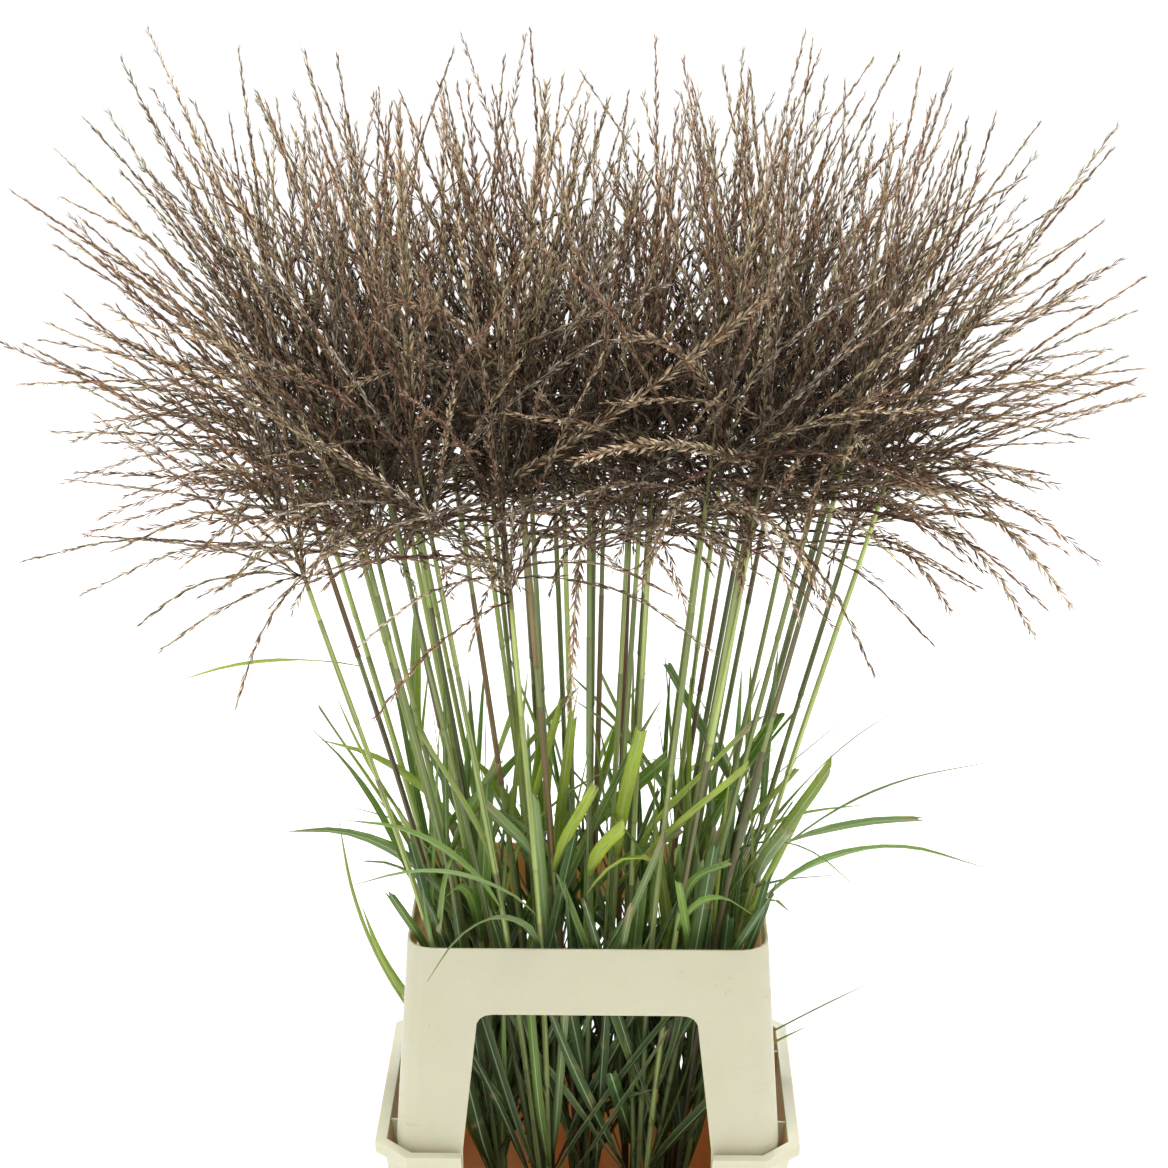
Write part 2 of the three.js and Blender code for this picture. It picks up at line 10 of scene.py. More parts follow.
import bmesh
import bpy
import numpy as np
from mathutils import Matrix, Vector


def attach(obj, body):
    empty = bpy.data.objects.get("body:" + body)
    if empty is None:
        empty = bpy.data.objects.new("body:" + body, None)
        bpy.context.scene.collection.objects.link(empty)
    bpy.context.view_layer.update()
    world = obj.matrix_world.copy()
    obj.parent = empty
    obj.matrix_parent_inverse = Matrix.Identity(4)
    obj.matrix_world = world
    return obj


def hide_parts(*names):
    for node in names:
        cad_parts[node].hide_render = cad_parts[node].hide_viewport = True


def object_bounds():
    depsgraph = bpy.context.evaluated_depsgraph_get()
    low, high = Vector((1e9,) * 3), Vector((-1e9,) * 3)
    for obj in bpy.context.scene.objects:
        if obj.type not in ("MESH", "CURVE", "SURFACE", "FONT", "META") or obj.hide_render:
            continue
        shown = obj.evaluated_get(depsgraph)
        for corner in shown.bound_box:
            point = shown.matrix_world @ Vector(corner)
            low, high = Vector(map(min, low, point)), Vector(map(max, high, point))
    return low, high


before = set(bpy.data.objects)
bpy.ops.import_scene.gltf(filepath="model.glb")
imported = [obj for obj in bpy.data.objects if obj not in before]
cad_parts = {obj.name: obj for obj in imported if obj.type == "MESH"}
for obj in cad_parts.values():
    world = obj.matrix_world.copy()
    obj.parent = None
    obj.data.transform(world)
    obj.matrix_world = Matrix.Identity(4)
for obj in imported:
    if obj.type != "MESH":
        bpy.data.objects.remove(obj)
CAD_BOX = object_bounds()

scene = bpy.context.scene
MM = 0.001
BOX_LOW, BOX_HIGH = [np.array(corner) / MM for corner in CAD_BOX]
TURN = 2 * math.pi
GOLDEN_ANGLE = 2.4

# The growing rule, in millimetres, as the solids have it

GAP = 0.3  # left between any two strands that meet
BUCKET_HEIGHT = 290
BUCKET_FLOOR = 4
# Height, half width and half depth
COLLAR_FOOT = (232, 176, 128)
COLLAR_WAIST = (BUCKET_HEIGHT, 180, 134)
COLLAR_TOP = (491, 167, 121)
COLLAR_WALL = 3
WINDOW_HEAD = 426
WINDOW_REAR_FROM, WINDOW_REAR_TO = 31, 62  # the part of the side windows that leaves can lie in
# Where each bunch stands, as a share of the fan's half width and half depth
BUNCHES = [
    (-0.84, -0.5), (-0.4, -0.76), (-0.02, -0.5), (0.5, -0.7), (0.84, -0.3),
    (-0.88, 0.3), (-0.5, 0.74), (-0.1, 0.34), (0.4, 0.3), (0.74, 0.72),
]
ALL_BUNCHES = range(len(BUNCHES))
STEMS = 5  # in each bunch
TIE_Z = 140
TIE_RADIUS = 4.9  # from the bunch's middle to each culm's
FOOT_Z = BUCKET_FLOOR + 1.5
PLUME_Z = 870
# How far the outermost bunch is from the middle, at three heights
FAN_X = [(FOOT_Z, 88), (COLLAR_TOP[0], 150), (PLUME_Z, 245)]
FAN_Y = [(FOOT_Z, 58), (COLLAR_TOP[0], 104), (PLUME_Z, 180)]
CULM_LEVELS = [TIE_Z, 480]
CULM_FOOT_RADIUS = 4.6
LEAVES = [1, 1, 0, 1, 0]  # on each stem of a bunch
LONG_LEAF_FROM = 10  # the index of the first long leaf, which its seeds follow from
LONG_LEAVES = [
    # bunch, stem, z, bearing, slope, fall, length, width, is long
    (5, 2, 262, 165, 0.55, -0.95, 330, 8, True),
    (5, 4, 275, 160, 0.5, -0.85, 220, 10, True),
    (9, 4, 236, -6, 0.66, 0.1, 245, 7, True),
    (9, 0, 250, -12, 0.8, 0.3, 175, 6, True),
    (5, 3, 460, 190, 1.15, 1.5, 215, 13, True),
    (0, 2, 755, 180, 0.25, 0.6, 165, 5, True),
    (5, 2, 520, 185, 0.9, -0.35, 205, 5, True),
    (2, 4, 540, -8, 1.05, 0.3, 205, 15, False),
    (4, 4, 455, -24, 1.22, 0.3, 200, 15, False),
    (4, 0, 440, 4, 1.1, 1, 335, 9, True),
    (9, 4, 420, 8, 1.15, 1.1, 240, 10, True),
    (3, 0, 500, -20, 1.2, 0.2, 205, 5, True),
    (1, 4, 455, -120, 1.25, 2.1, 190, 11, True),
]
RACEMES = 7  # in each plume
LINKED = 3  # its place is taken by the raceme that joins two plumes
RACEME_RADIUS = 2.6
RACEME_SHARES = [0, 0.16, 0.6, 1]  # where along its length a raceme's points lie
AXIS_RADIUS = 2.3
TRIES = 40
WALL_ROOM = 8  # below the windows' heads, for the hands that reach in
POCKET_ROOM = 17  # in the bucket, for the pockets in its corners
STEP = 3  # along a strand, where it is tested against the bucket and collar
MASK = 0xFFFFFFFF
KINDS = {"culm": 0, "leaf": 1, "link": 2, "raceme": 3}


def draws_from(seed):
    """A stream of even random numbers from a whole-number seed."""
    state = seed & MASK

    def draw(low, high):
        nonlocal state
        state = (state + 0x6D2B79F5) & MASK
        t = ((state ^ (state >> 15)) * (1 | state)) & MASK
        t = ((t + (((t ^ (t >> 7)) * (61 | t)) & MASK)) ^ t) & MASK
        return low + ((high - low) * ((t ^ (t >> 14)) & MASK)) / 4294967296

    return draw


def seed_for(kind, bunch, stem, index, attempt):
    return attempt + 50 * (index + 50 * (stem + 10 * (bunch + 20 * KINDS[kind])))


def plus(a, b, k=1.0):
    return (a[0] + k * b[0], a[1] + k * b[1], a[2] + k * b[2])


def minus(a, b):
    return plus(a, b, -1.0)


def cross(a, b):
    return (a[1] * b[2] - a[2] * b[1], a[2] * b[0] - a[0] * b[2], a[0] * b[1] - a[1] * b[0])


def length_of(a):
    return math.sqrt(a[0] * a[0] + a[1] * a[1] + a[2] * a[2])


def unit(a):
    return plus((0, 0, 0), a, 1 / length_of(a))


def mix(a, b, t):
    return a + (b - a) * t


def between(a, b, t):
    return plus(a, minus(b, a), t)


def parabola(pairs, z):
    """The value at z of the parabola through three pairs."""
    (a, p), (b, q), (c, r) = pairs
    return (
        (p * (z - b) * (z - c)) / ((a - b) * (a - c))
        + (q * (z - a) * (z - c)) / ((b - a) * (b - c))
        + (r * (z - a) * (z - b)) / ((c - a) * (c - b))
    )


def collar_size(z):
    low, high = (COLLAR_FOOT, COLLAR_WAIST) if z < COLLAR_WAIST[0] else (COLLAR_WAIST, COLLAR_TOP)
    t = (z - low[0]) / (high[0] - low[0])
    return mix(low[1], high[1], t), mix(low[2], high[2], t)


class Room:
    """What is already placed, as rods, and whether a new strand would touch one of another node."""

    MOST = 9000

    def __init__(self):
        self.a, self.b = np.zeros((self.MOST, 3)), np.zeros((self.MOST, 3))
        self.reach, self.node = np.zeros(self.MOST), np.zeros(self.MOST, int)
        self.is_root = np.zeros(self.MOST, bool)
        self.count = 0

    def place(self, node, path, reach):
        for i in range(len(path) - 1):
            n = self.count
            self.a[n], self.b[n] = path[i], path[i + 1]
            self.reach[n], self.node[n], self.is_root[n] = reach, node, i == 0
            self.count += 1

    def is_clear(self, node, path, reach, avoids_own=False):
        n = self.count
        for i in range(len(path) - 1):
            own = self.node[:n] == node
            skipped = own & (self.is_root[:n] | (not avoids_own) | (i == 0))
            a, b = np.array(path[i]), np.array(path[i + 1])
            room = reach + self.reach[:n] + GAP
            low, high = np.minimum(a, b)[None], np.maximum(a, b)[None]
            rod_low, rod_high = np.minimum(self.a[:n], self.b[:n]), np.maximum(self.a[:n], self.b[:n])
            far = ((low - room[:, None] > rod_high) | (high + room[:, None] < rod_low)).any(1)
            near = np.flatnonzero(~skipped & ~far)
            if len(near) and (self.distance(a, b, self.a[near], self.b[near]) < room[near]).any():
                return False
        return True

    @staticmethod
    def distance(a, b, c, d):
        u, v, w = b - a, d - c, a - c
        uu, uv, vv = u @ u, v @ u, (v * v).sum(1)
        uw, vw = w @ u, (v * w).sum(1)
        spread = uu * vv - uv * uv
        s = np.where(spread > 1e-9, np.clip((uv * vw - vv * uw) / np.maximum(spread, 1e-9), 0, 1), 0)
        t = np.clip((uv * s + vw) / vv, 0, 1)
        s = np.clip((uv * t - uw) / uu, 0, 1)
        return np.linalg.norm(w + u[None] * s[:, None] - v * t[:, None], axis=1)


def is_free(point, reach):
    """Whether a point is clear of the bucket and collar."""
    x, y, z = point
    if z > COLLAR_TOP[0] + reach:
        return True
    size_x, size_y = collar_size(max(z, COLLAR_FOOT[0]))
    within = COLLAR_WALL + reach + (1 if z > WINDOW_HEAD else WALL_ROOM)
    within += 0 if z > BUCKET_HEIGHT else POCKET_ROOM
    if abs(x) < size_x - within and abs(y) < size_y - within:
        return True
    if z < BUCKET_HEIGHT + reach + 2:
        return False
    if abs(x) > size_x + reach + 1 or abs(y) > size_y + reach + 1:
        return True
    return y > WINDOW_REAR_FROM + reach and y < WINDOW_REAR_TO - reach and z < WINDOW_HEAD - reach


def keeps_free(path, reach):
    for a, b in zip(path, path[1:]):
        steps = math.ceil(length_of(minus(b, a)) / STEP)
        if not all(is_free(between(a, b, n / steps), reach) for n in range(steps + 1)):
            return False
    return True


def keeps_in_box(path, inside):
    points = np.array(path)
    return (points > BOX_LOW + inside).all() and (points < BOX_HIGH - inside).all()


def grow(kind, bunch, stem, index, shape, test):
    """The first drawn shape that passes the test, or None."""
    for attempt in range(TRIES):
        grown = shape(draws_from(seed_for(kind, bunch, stem, index, attempt)))
        if test(grown):
            return grown
    return None


def bunch_middle(bunch, z):
    return (BUNCHES[bunch][0] * parabola(FAN_X, z), BUNCHES[bunch][1] * parabola(FAN_Y, z), z)


def culm_path(bunch, stem, draw):
    angle = (TURN * (stem + 0.37 * bunch)) / STEMS
    swing = draw(-0.3, 0.3)
    openness = draw(0.05, 0.11)
    top = draw(PLUME_Z - 50, PLUME_Z + 70)
    path = []
    for z in (FOOT_Z, *CULM_LEVELS, top):
        above = z - TIE_Z
        turn = angle + (swing if above > 0 else 0)
        out = TIE_RADIUS + (openness * above if above > 0 else -0.04 * above)
        path.append(plus(bunch_middle(bunch, z), (math.cos(turn), math.sin(turn), 0), out))
    return path


def nod(root, bearing, slope, fall, length, shares):
    """A strand that leaves its root at a bearing and slope, and bends down by fall over its length."""
    path = [root]
    for i in range(1, len(shares)):
        now = slope - (fall * (shares[i] + shares[i - 1])) / 2
        step = (math.cos(bearing) * math.cos(now), math.sin(bearing) * math.cos(now), math.sin(now))
        path.append(plus(path[i - 1], step, length * (shares[i] - shares[i - 1])))
    return path


def leaf_shape(draw):
    z = draw(220, 560)
    is_long = draw(0, 1) < 0.35
    length = draw(230, 340) if is_long else draw(110, 200)
    bearing = draw(0, 360)
    slope = draw(1, 1.4)
    fall = draw(0.5, 1.8) if is_long else draw(0, 0.8)
    return z, bearing, slope, fall, length, draw(8, 13), is_long


def point_at(path, z):
    i = max(1, next((n for n, p in enumerate(path) if p[2] >= z), -1))
    return between(path[i - 1], path[i], (z - path[i - 1][2]) / (path[i][2] - path[i - 1][2]))


def leaf_on(culm, shape):
    z, bearing, slope, fall, length, width, is_long = shape
    shares = [0, 0.2, 0.5, 0.75, 1] if is_long else [0, 0.3, 1]
    path = nod(point_at(culm, z), bearing * math.pi / 180, slope, fall, length, shares)
    return {"path": path, "width": width, "is_long": is_long, "fall": fall}


def plume_axis(culm, draw):
    along = unit(minus(culm[-1], culm[-2]))
    root = plus(culm[-1], along, GAP)
    return {"path": [root, plus(root, along, draw(95, 135))], "turn": draw(0, TURN / 3)}


def swung(a, b, angle):
    """The direction at an angle from a towards b."""
    return plus(plus((0, 0, 0), a, math.cos(angle)), b, math.sin(angle))


def leave_axis(axis, spread, angle):
    """The bearing and slope of a raceme that leaves the axis at an angle to it, round it by another angle."""
    low, high = axis["path"]
    along = unit(minus(high, low))
    over = unit(cross(along, (1, 0, 0)))
    side = cross(over, along)
    start = unit(swung(along, swung(side, over, angle), spread))
    return math.atan2(start[1], start[0]), math.asin(start[2])


def raceme_path(axis, index, draw):
    share = (index + 0.7) / RACEMES
    root = between(*axis["path"], 0.9 * share + draw(-0.03, 0.03))
    spread = mix(1.05, 0.2, share) + draw(-0.1, 0.15)
    angle = axis["turn"] + (TURN * (index + 0.5)) / 3 + draw(-0.5, 0.5)
    bearing, slope = leave_axis(axis, spread, angle)
    fall = draw(0.05, 0.4) + 0.6 * (1 - share)
    return nod(root, bearing, slope, fall, draw(200, 290), RACEME_SHARES)


def link_path(axis, other, draw):
    root = between(*axis["path"], draw(0.1, 0.6))
    tip = between(*other["path"], draw(0.4, 0.95))
    return [root, between(root, tip, 0.3), between(root, tip, 0.65), tip]


def each_stem(make):
    return [[make(bunch, stem) for stem in range(STEMS)] for bunch in ALL_BUNCHES]


def stems_of(bunches=ALL_BUNCHES):
    return [(bunch, stem) for bunch in bunches for stem in range(STEMS)]


# A node is told apart by its number: culms 2n, plumes 2n + 1
room = Room()


def grow_culm(bunch, stem):
    def test(path):
        return keeps_free(path, CULM_FOOT_RADIUS) and room.is_clear(2 * bunch, path, CULM_FOOT_RADIUS)

    path = grow("culm", bunch, stem, 0, lambda draw: culm_path(bunch, stem, draw), test)
    room.place(2 * bunch, path, CULM_FOOT_RADIUS)
    return path


culms = each_stem(grow_culm)


def grow_axis(bunch, stem):
    axis = plume_axis(culms[bunch][stem], draws_from(seed_for("culm", bunch, stem, 1, 0)))
    room.place(2 * bunch + 1, axis["path"], AXIS_RADIUS)
    return axis


axes = each_stem(grow_axis)


def grow_link(bunch, stem):
    if stem == 0:
        return None
    path = grow(
        "link", bunch, stem, 0,
        lambda draw: link_path(axes[bunch][stem], axes[bunch][math.floor(draw(0, stem))], draw),
        lambda p: room.is_clear(2 * bunch + 1, p, RACEME_RADIUS),
    )
    room.place(2 * bunch + 1, path, RACEME_RADIUS)
    return path


links = each_stem(grow_link)
leaves = each_stem(lambda bunch, stem: [])


def fits_freely(leaf):
    return keeps_free(leaf["path"], leaf["width"] / 2)


def add_leaf(bunch, stem, index, make, fits=fits_freely, reach=None):
    """Adds a leaf that fits. Its reach is half its width unless it is given."""
    node = 2 * bunch

    def test(leaf):
        return fits(leaf) and room.is_clear(node, leaf["path"], reach or leaf["width"] / 2, True)

    leaf = grow("leaf", bunch, stem, index, lambda draw: make(culms[bunch][stem], draw), test)
    if leaf:
        room.place(node, leaf["path"], reach or leaf["width"] / 2)
        leaves[bunch][stem].append(leaf)


def long_leaf(culm, draw, z, bearing, *rest):
    bearing = bearing + draw(-15, 15)
    return leaf_on(culm, (z + draw(-25, 25), bearing, *rest))


for number, (bunch, stem, *row) in enumerate(LONG_LEAVES):
    add_leaf(bunch, stem, LONG_LEAF_FROM + number, lambda culm, draw: long_leaf(culm, draw, *row))
for bunch, stem in stems_of():
    for number in range(LEAVES[stem]):
        add_leaf(bunch, stem, number, lambda culm, draw: leaf_on(culm, leaf_shape(draw)))

racemes = each_stem(lambda bunch, stem: [])


def add_raceme(bunch, stem, index, make, reach=RACEME_RADIUS, inside=-math.inf, kept=racemes):
    node = 2 * bunch + 1
    path = grow(
        "raceme", bunch, stem, index, make,
        lambda p: keeps_in_box(p, inside) and room.is_clear(node, p, reach, True),
    )
    if path:
        room.place(node, path, reach)
        kept[bunch][stem].append(path)


for number in range(RACEMES):
    for bunch, stem in stems_of():
        if not (links[bunch][stem] and number == LINKED):
            add_raceme(bunch, stem, number, lambda draw: raceme_path(axes[bunch][stem], number, draw))

# Further growth, for the looks only

EXTRA_REACH = 0.3
BLADE_REACH = 1.2
INSIDE_BOX, OUTSIDE_BOX = 8, -6  # how far a strand stays inside the solids' box
SIDE_RACEMES = 3
EXTRA_RACEMES = 23
SPREADERS = 9  # those of them that spread low down
INNER_LEAVES = 4
SIDE_LEAVES = 3  # further inner leaves, in the bunches at the sides
OUTER_LEAVES = 1
STRIPS = 1
SIDE_BUNCHES = (0, 4, 5, 9)
# The first index of each kind of growth, which its seeds follow from
FRONT_LEAF_FROM, INNER_LEAF_FROM, OUTER_LEAF_FROM, STRIP_FROM = 5, 30, 40, 45
EXTRA_RACEME_FROM, SIDE_RACEME_FROM = 20, 45
FRONT_LEAVES = [
    # bunch, stem, z, tip, how far the middle bows up, width, is long
    (0, 1, 500, (-269, -70, 549), 12, 13, False),
    (0, 0, 520, (-128, -108, 500), 55, 14, False),
    (0, 3, 470, (-168, -80, 570), -4, 14, False),
    (0, 4, 470, (-147, -75, 590), 4, 13, False),
    (0, 0, 480, (-96, -85, 645), -6, 14, False),
    (1, 0, 430, (-52, -90, 633), 0, 12, False),
    (0, 3, 455, (-218, -70, 478), 14, 9, False),
    (5, 1, 480, (-222, -20, 540), 10, 9, False),
    (1, 0, 470, (57, -110, 733), 12, 15, True),
    (2, 2, 560, (-88, -100, 640), 8, 8, False),
    (2, 2, 600, (-90, -100, 560), 30, 7, True),
    (4, 2, 430, (234, -20, 616), -10, 13, False),
    (4, 4, 520, (297, -40, 577), 10, 9, False),
    (4, 0, 520, (195, -30, 628), -4, 7, False),
    (4, 2, 500, (195, -60, 614), 0, 8, False),
    (4, 3, 480, (178, -88, 512), 18, 10, True),
    (9, 1, 560, (241, 40, 647), 0, 4, True),
    (3, 1, 420, (45, -100, 562), 0, 14, False),
    (3, 2, 560, (0, -100, 540), 22, 12, True),
    (3, 0, 440, (58, -75, 602), 4, 13, False),
    (3, 4, 440, (112, -90, 570), 20, 12, False),
    (4, 1, 440, (128, -80, 590), 6, 11, False),
    (3, 4, 500, (176, -86, 540), 26, 12, True),
]
FRONT_RACEMES = [
    # bunch, stem, share of the axis, tip, how far the middle bows up, size
    (1, 4, 0.95, (149, -270, 1135), -8, 1.3),
    (2, 2, 0.97, (-159, -250, 1118), 22, 1.3),
    (2, 2, 0.85, (-187, -260, 1053), 24, 1.2),
    (2, 3, 0.05, (-13, -215, 762), 70, 1.3),
    (1, 3, 0.9, (-147, -225, 1273), -6, 1.3),
    (2, 2, 1.0, (-31, -185, 1284), -5, 1.25),
    (4, 4, 0.1, (402, -60, 775), 55, 1.1),
    (4, 3, 0.15, (423, -120, 823), 35, 1.2),
    (4, 4, 0.05, (318, -110, 817), 25, 1.2),
    (3, 3, 0.6, (-7, -330, 1012), 18, 1.3),
    (3, 2, 0.9, (28, -280, 1097), 20, 1.3),
    (1, 4, 0.1, (-115, -300, 905), 25, 1.2),
    (3, 2, 0.1, (197, -300, 886), 30, 1.2),
    (2, 4, 0.1, (131, -250, 886), 22, 1.2),
    (3, 2, 0.2, (45, -330, 907), 30, 1.2),
]


def inner_raceme_path(axis, index, draw):
    if index < SPREADERS:
        root = between(*axis["path"], draw(0, 0.4))
        spread, fall, length = draw(0.8, 1.4), draw(0.3, 1.1), draw(130, 235)
    else:
        share = (index - SPREADERS + draw(0, 1)) / (EXTRA_RACEMES - SPREADERS)
        root = between(*axis["path"], 0.95 * share)
        spread = mix(0.7, 0.1, share) + draw(-0.12, 0.14)
        fall, length = draw(0, 0.3) * (1 - 0.5 * share), draw(185, 300)
    bearing, slope = leave_axis(axis, spread, GOLDEN_ANGLE * index + draw(-0.5, 0.5))
    return nod(root, bearing, slope, fall, length, RACEME_SHARES)


def side_raceme_path(bunch, stem, draw):
    """A raceme that reaches out to the left or right of the grass."""
    root = between(*axes[bunch][stem]["path"], draw(0.1, 0.9))
    bearing = draw(-0.7, 0.7) + (0 if BUNCHES[bunch][0] > 0 else math.pi)
    return nod(root, bearing, draw(0.1, 0.85), draw(0, 0.35), draw(220, 310), RACEME_SHARES)


# The racemes that spread low down, in the shade of the others
coarse = each_stem(lambda bunch, stem: [])


def inner_leaf(draw):
    """A blade low down, among the culms behind the collar's windows."""
    is_long = draw(0, 1) < 0.6
    z, bearing, slope, fall = draw(190, 330), draw(0, 360), draw(0.8, 1.3), draw(-0.25, 0.35)
    return z, bearing, slope, fall, draw(190, 330), draw(7, 15), is_long


def stays_inside(path):
    """Whether a blade keeps within the collar up to a little above the collar's top."""
    above, within, parts = 8, 5, 4
    steps = [between(a, b, n / parts) for a, b in zip(path, path[1:]) for n in range(parts + 1)]
    low = [(p, collar_size(max(p[2], COLLAR_FOOT[0]))) for p in steps if p[2] < COLLAR_TOP[0] + above]
    return all(abs(p[0]) < size[0] - within and abs(p[1]) < size[1] - within for p, size in low)


def outer_leaf(draw):
    """A blade that stands or leans out above the collar."""
    is_long = draw(0, 1) < 0.55
    fall = draw(0.3, 1.7) if is_long else draw(-0.1, 0.6)
    return draw(330, 560), draw(0, 360), draw(0.8, 1.35), fall, draw(120, 230), draw(6, 14), is_long


def strip(draw):
    """A narrow blade that still stands close to its culm."""
    z, bearing, slope, fall = draw(300, 560), draw(0, 360), draw(1.42, 1.54), draw(-0.05, 0.12)
    return z, bearing, slope, fall, draw(120, 210), draw(3.5, 7), True


def fits_between(leaf):
    return keeps_free(leaf["path"], 0.45 * leaf["width"]) and keeps_in_box(leaf["path"], INSIDE_BOX)


def fits_inside(leaf):
    return stays_inside(leaf["path"]) and fits_between(leaf)


def bowed(root, tip, bow):
    """A path from root to tip whose middle lies higher by bow."""
    return [plus(between(root, tip, t), (0, 0, 4 * bow * t * (1 - t))) for t in (0, 0.16, 0.45, 0.75, 1)]


def front_leaf(culm, draw, z, tip, bow, width, is_long):
    """One of the blades at the front. Where it meets another stem its ends are moved a little."""
    root = point_at(culm, z + draw(-25, 25))
    end = plus(tip, (draw(-12, 12), draw(-18, 12), draw(-12, 12)))
    return {"path": bowed(root, end, bow), "width": width, "is_long": is_long, "fall": 0}


for number in range(SIDE_RACEMES):
    for bunch, stem in stems_of(SIDE_BUNCHES):
        add_raceme(
            bunch, stem, SIDE_RACEME_FROM + number,
            lambda draw: side_raceme_path(bunch, stem, draw), EXTRA_REACH, OUTSIDE_BOX,
        )
for number in range(EXTRA_RACEMES):
    for bunch, stem in stems_of():
        add_raceme(
            bunch, stem, EXTRA_RACEME_FROM + number,
            lambda draw: inner_raceme_path(axes[bunch][stem], number, draw),
            EXTRA_REACH, INSIDE_BOX, coarse if number < SPREADERS else racemes,
        )
for number, (bunch, stem, *row) in enumerate(FRONT_LEAVES):
    add_leaf(
        bunch, stem, FRONT_LEAF_FROM + number,
        lambda culm, draw: front_leaf(culm, draw, *row), fits_between, BLADE_REACH,
    )
for count, first, shape_of, fits in (
    (INNER_LEAVES + SIDE_LEAVES, INNER_LEAF_FROM, inner_leaf, fits_inside),
    (OUTER_LEAVES, OUTER_LEAF_FROM, outer_leaf, fits_between),
    (STRIPS, STRIP_FROM, strip, fits_between),
):
    for number in range(count):
        only_sides = shape_of is inner_leaf and number >= INNER_LEAVES
        for bunch, stem in stems_of(SIDE_BUNCHES if only_sides else ALL_BUNCHES):
            add_leaf(
                bunch, stem, first + number,
                lambda culm, draw: leaf_on(culm, shape_of(draw)), fits, BLADE_REACH,
            )


# Meshes, made in millimetres

CURVE_PARTS = 16  # between two points of a path

def rgb(*parts):
    return np.array(parts)


class Stuff:
    """Vertices, faces, a strand map and a tint, gathered for one piece."""

    def __init__(self):
        self.verts, self.maps, self.tints, self.tris, self.quads = [], [], [], [], []
        self.count = 0

    def add(self, verts, faces, maps, tints):
        verts = np.asarray(verts, float).reshape(-1, 3)
        n = len(verts)
        self.verts.append(verts)
        self.maps.append(np.broadcast_to(np.asarray(maps, float), (n, 2)))
        self.tints.append(np.broadcast_to(np.asarray(tints, float), (n, 3)))
        faces = np.asarray(faces, int)
        (self.tris if faces.shape[1] == 3 else self.quads).append(faces + self.count)
        self.count += n
        return self.count - n

    def build(self, name, material, node, slot):
        mesh = bpy.data.meshes.new(name)
        verts, maps = np.concatenate(self.verts) * MM, np.concatenate(self.maps)
        faces = [f for group in (self.quads, self.tris) for block in group for f in block.tolist()]
        mesh.from_pydata(verts.tolist(), [], faces)
        tint = mesh.color_attributes.new("Tint", "FLOAT_COLOR", "POINT")
        rgba = np.ones((len(verts), 4))
        rgba[:, :3] = np.concatenate(self.tints)
        tint.data.foreach_set("color", rgba.ravel())
        corner = np.empty(len(mesh.loops), int)
        mesh.loops.foreach_get("vertex_index", corner)
        layer = mesh.uv_layers.new(name="Strand")
        layer.data.foreach_set("uv", maps[corner].ravel())
        mesh.polygons.foreach_set("use_smooth", np.ones(len(mesh.polygons), bool))
        mesh.materials.append(material)
        mesh.update()
        show(name, mesh, node)


def having(thing, **settings):
    for key, value in settings.items():
        setattr(thing, key, value)
    return thing


def add_object(name, data, **settings):
    piece = having(bpy.data.objects.new(name, data), **settings)
    scene.collection.objects.link(piece)
    return piece


def show(name, mesh, node):
    """A piece of the part, in place of a node."""
    piece = add_object(name, mesh)
    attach(piece, "root")
    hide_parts(node)
    return piece


def ring_faces(rings, sides, closes=False):
    """The quads between rings of vertices, and from the last ring back to the first where it closes."""
    i, j = np.meshgrid(np.arange(rings if closes else rings - 1), np.arange(sides), indexing="ij")
    ahead, k = (i + 1) % rings, (j + 1) % sides
    return np.stack([i * sides + j, ahead * sides + j, ahead * sides + k, i * sides + k], -1).reshape(-1, 4)


def distances(points):
    return np.concatenate([[0], np.cumsum(np.linalg.norm(np.diff(points, axis=0), axis=1))])


def part_way(x, low, high, a, b):
    return (high - x) / (high - low) * a + (x - low) / (high - low) * b


def curve_through(path, spacing):
    """Evenly spaced points on a smooth curve through the path's points, and their distances along it."""
    p = np.array(path, float)
    p = np.vstack([2 * p[0] - p[1], p, 2 * p[-1] - p[-2]])
    dense = []
    t = np.linspace(0, 1, CURVE_PARTS, endpoint=False)[:, None]
    for a, b, c, d in zip(p, p[1:], p[2:], p[3:]):
        gaps = [max(1e-6, np.linalg.norm(q - r)) ** 0.5 for q, r in ((b, a), (c, b), (d, c))]
        k0, k1, k2, k3 = np.cumsum([0] + gaps)
        x = k1 + (k2 - k1) * t
        ab, bc, cd = part_way(x, k0, k1, a, b), part_way(x, k1, k2, b, c), part_way(x, k2, k3, c, d)
        dense.append(part_way(x, k1, k2, part_way(x, k0, k2, ab, bc), part_way(x, k1, k3, bc, cd)))
    dense = np.vstack(dense + [p[-2][None]])
    along = distances(dense)
    at = np.linspace(0, along[-1], max(4, int(along[-1] / spacing) + 1))
    return at_distance(dense, along, at), at


def at_distance(points, along, at):
    return np.stack([np.interp(at, along, points[:, k]) for k in range(3)], 1)


def normed(v):
    return v / np.maximum(np.linalg.norm(v, axis=-1, keepdims=True), 1e-9)


def frames_of(points, across):
    along = normed(np.gradient(points, axis=0))
    over = normed(np.cross(along, across))
    return along, np.cross(over, along), over


def side_of(path):
    """The level direction square to the way a path leads."""
    dx, dy = path[-1][0] - path[0][0], path[-1][1] - path[0][1]
    return np.array([-dy, dx, 0]) / max(1e-9, math.hypot(dx, dy))


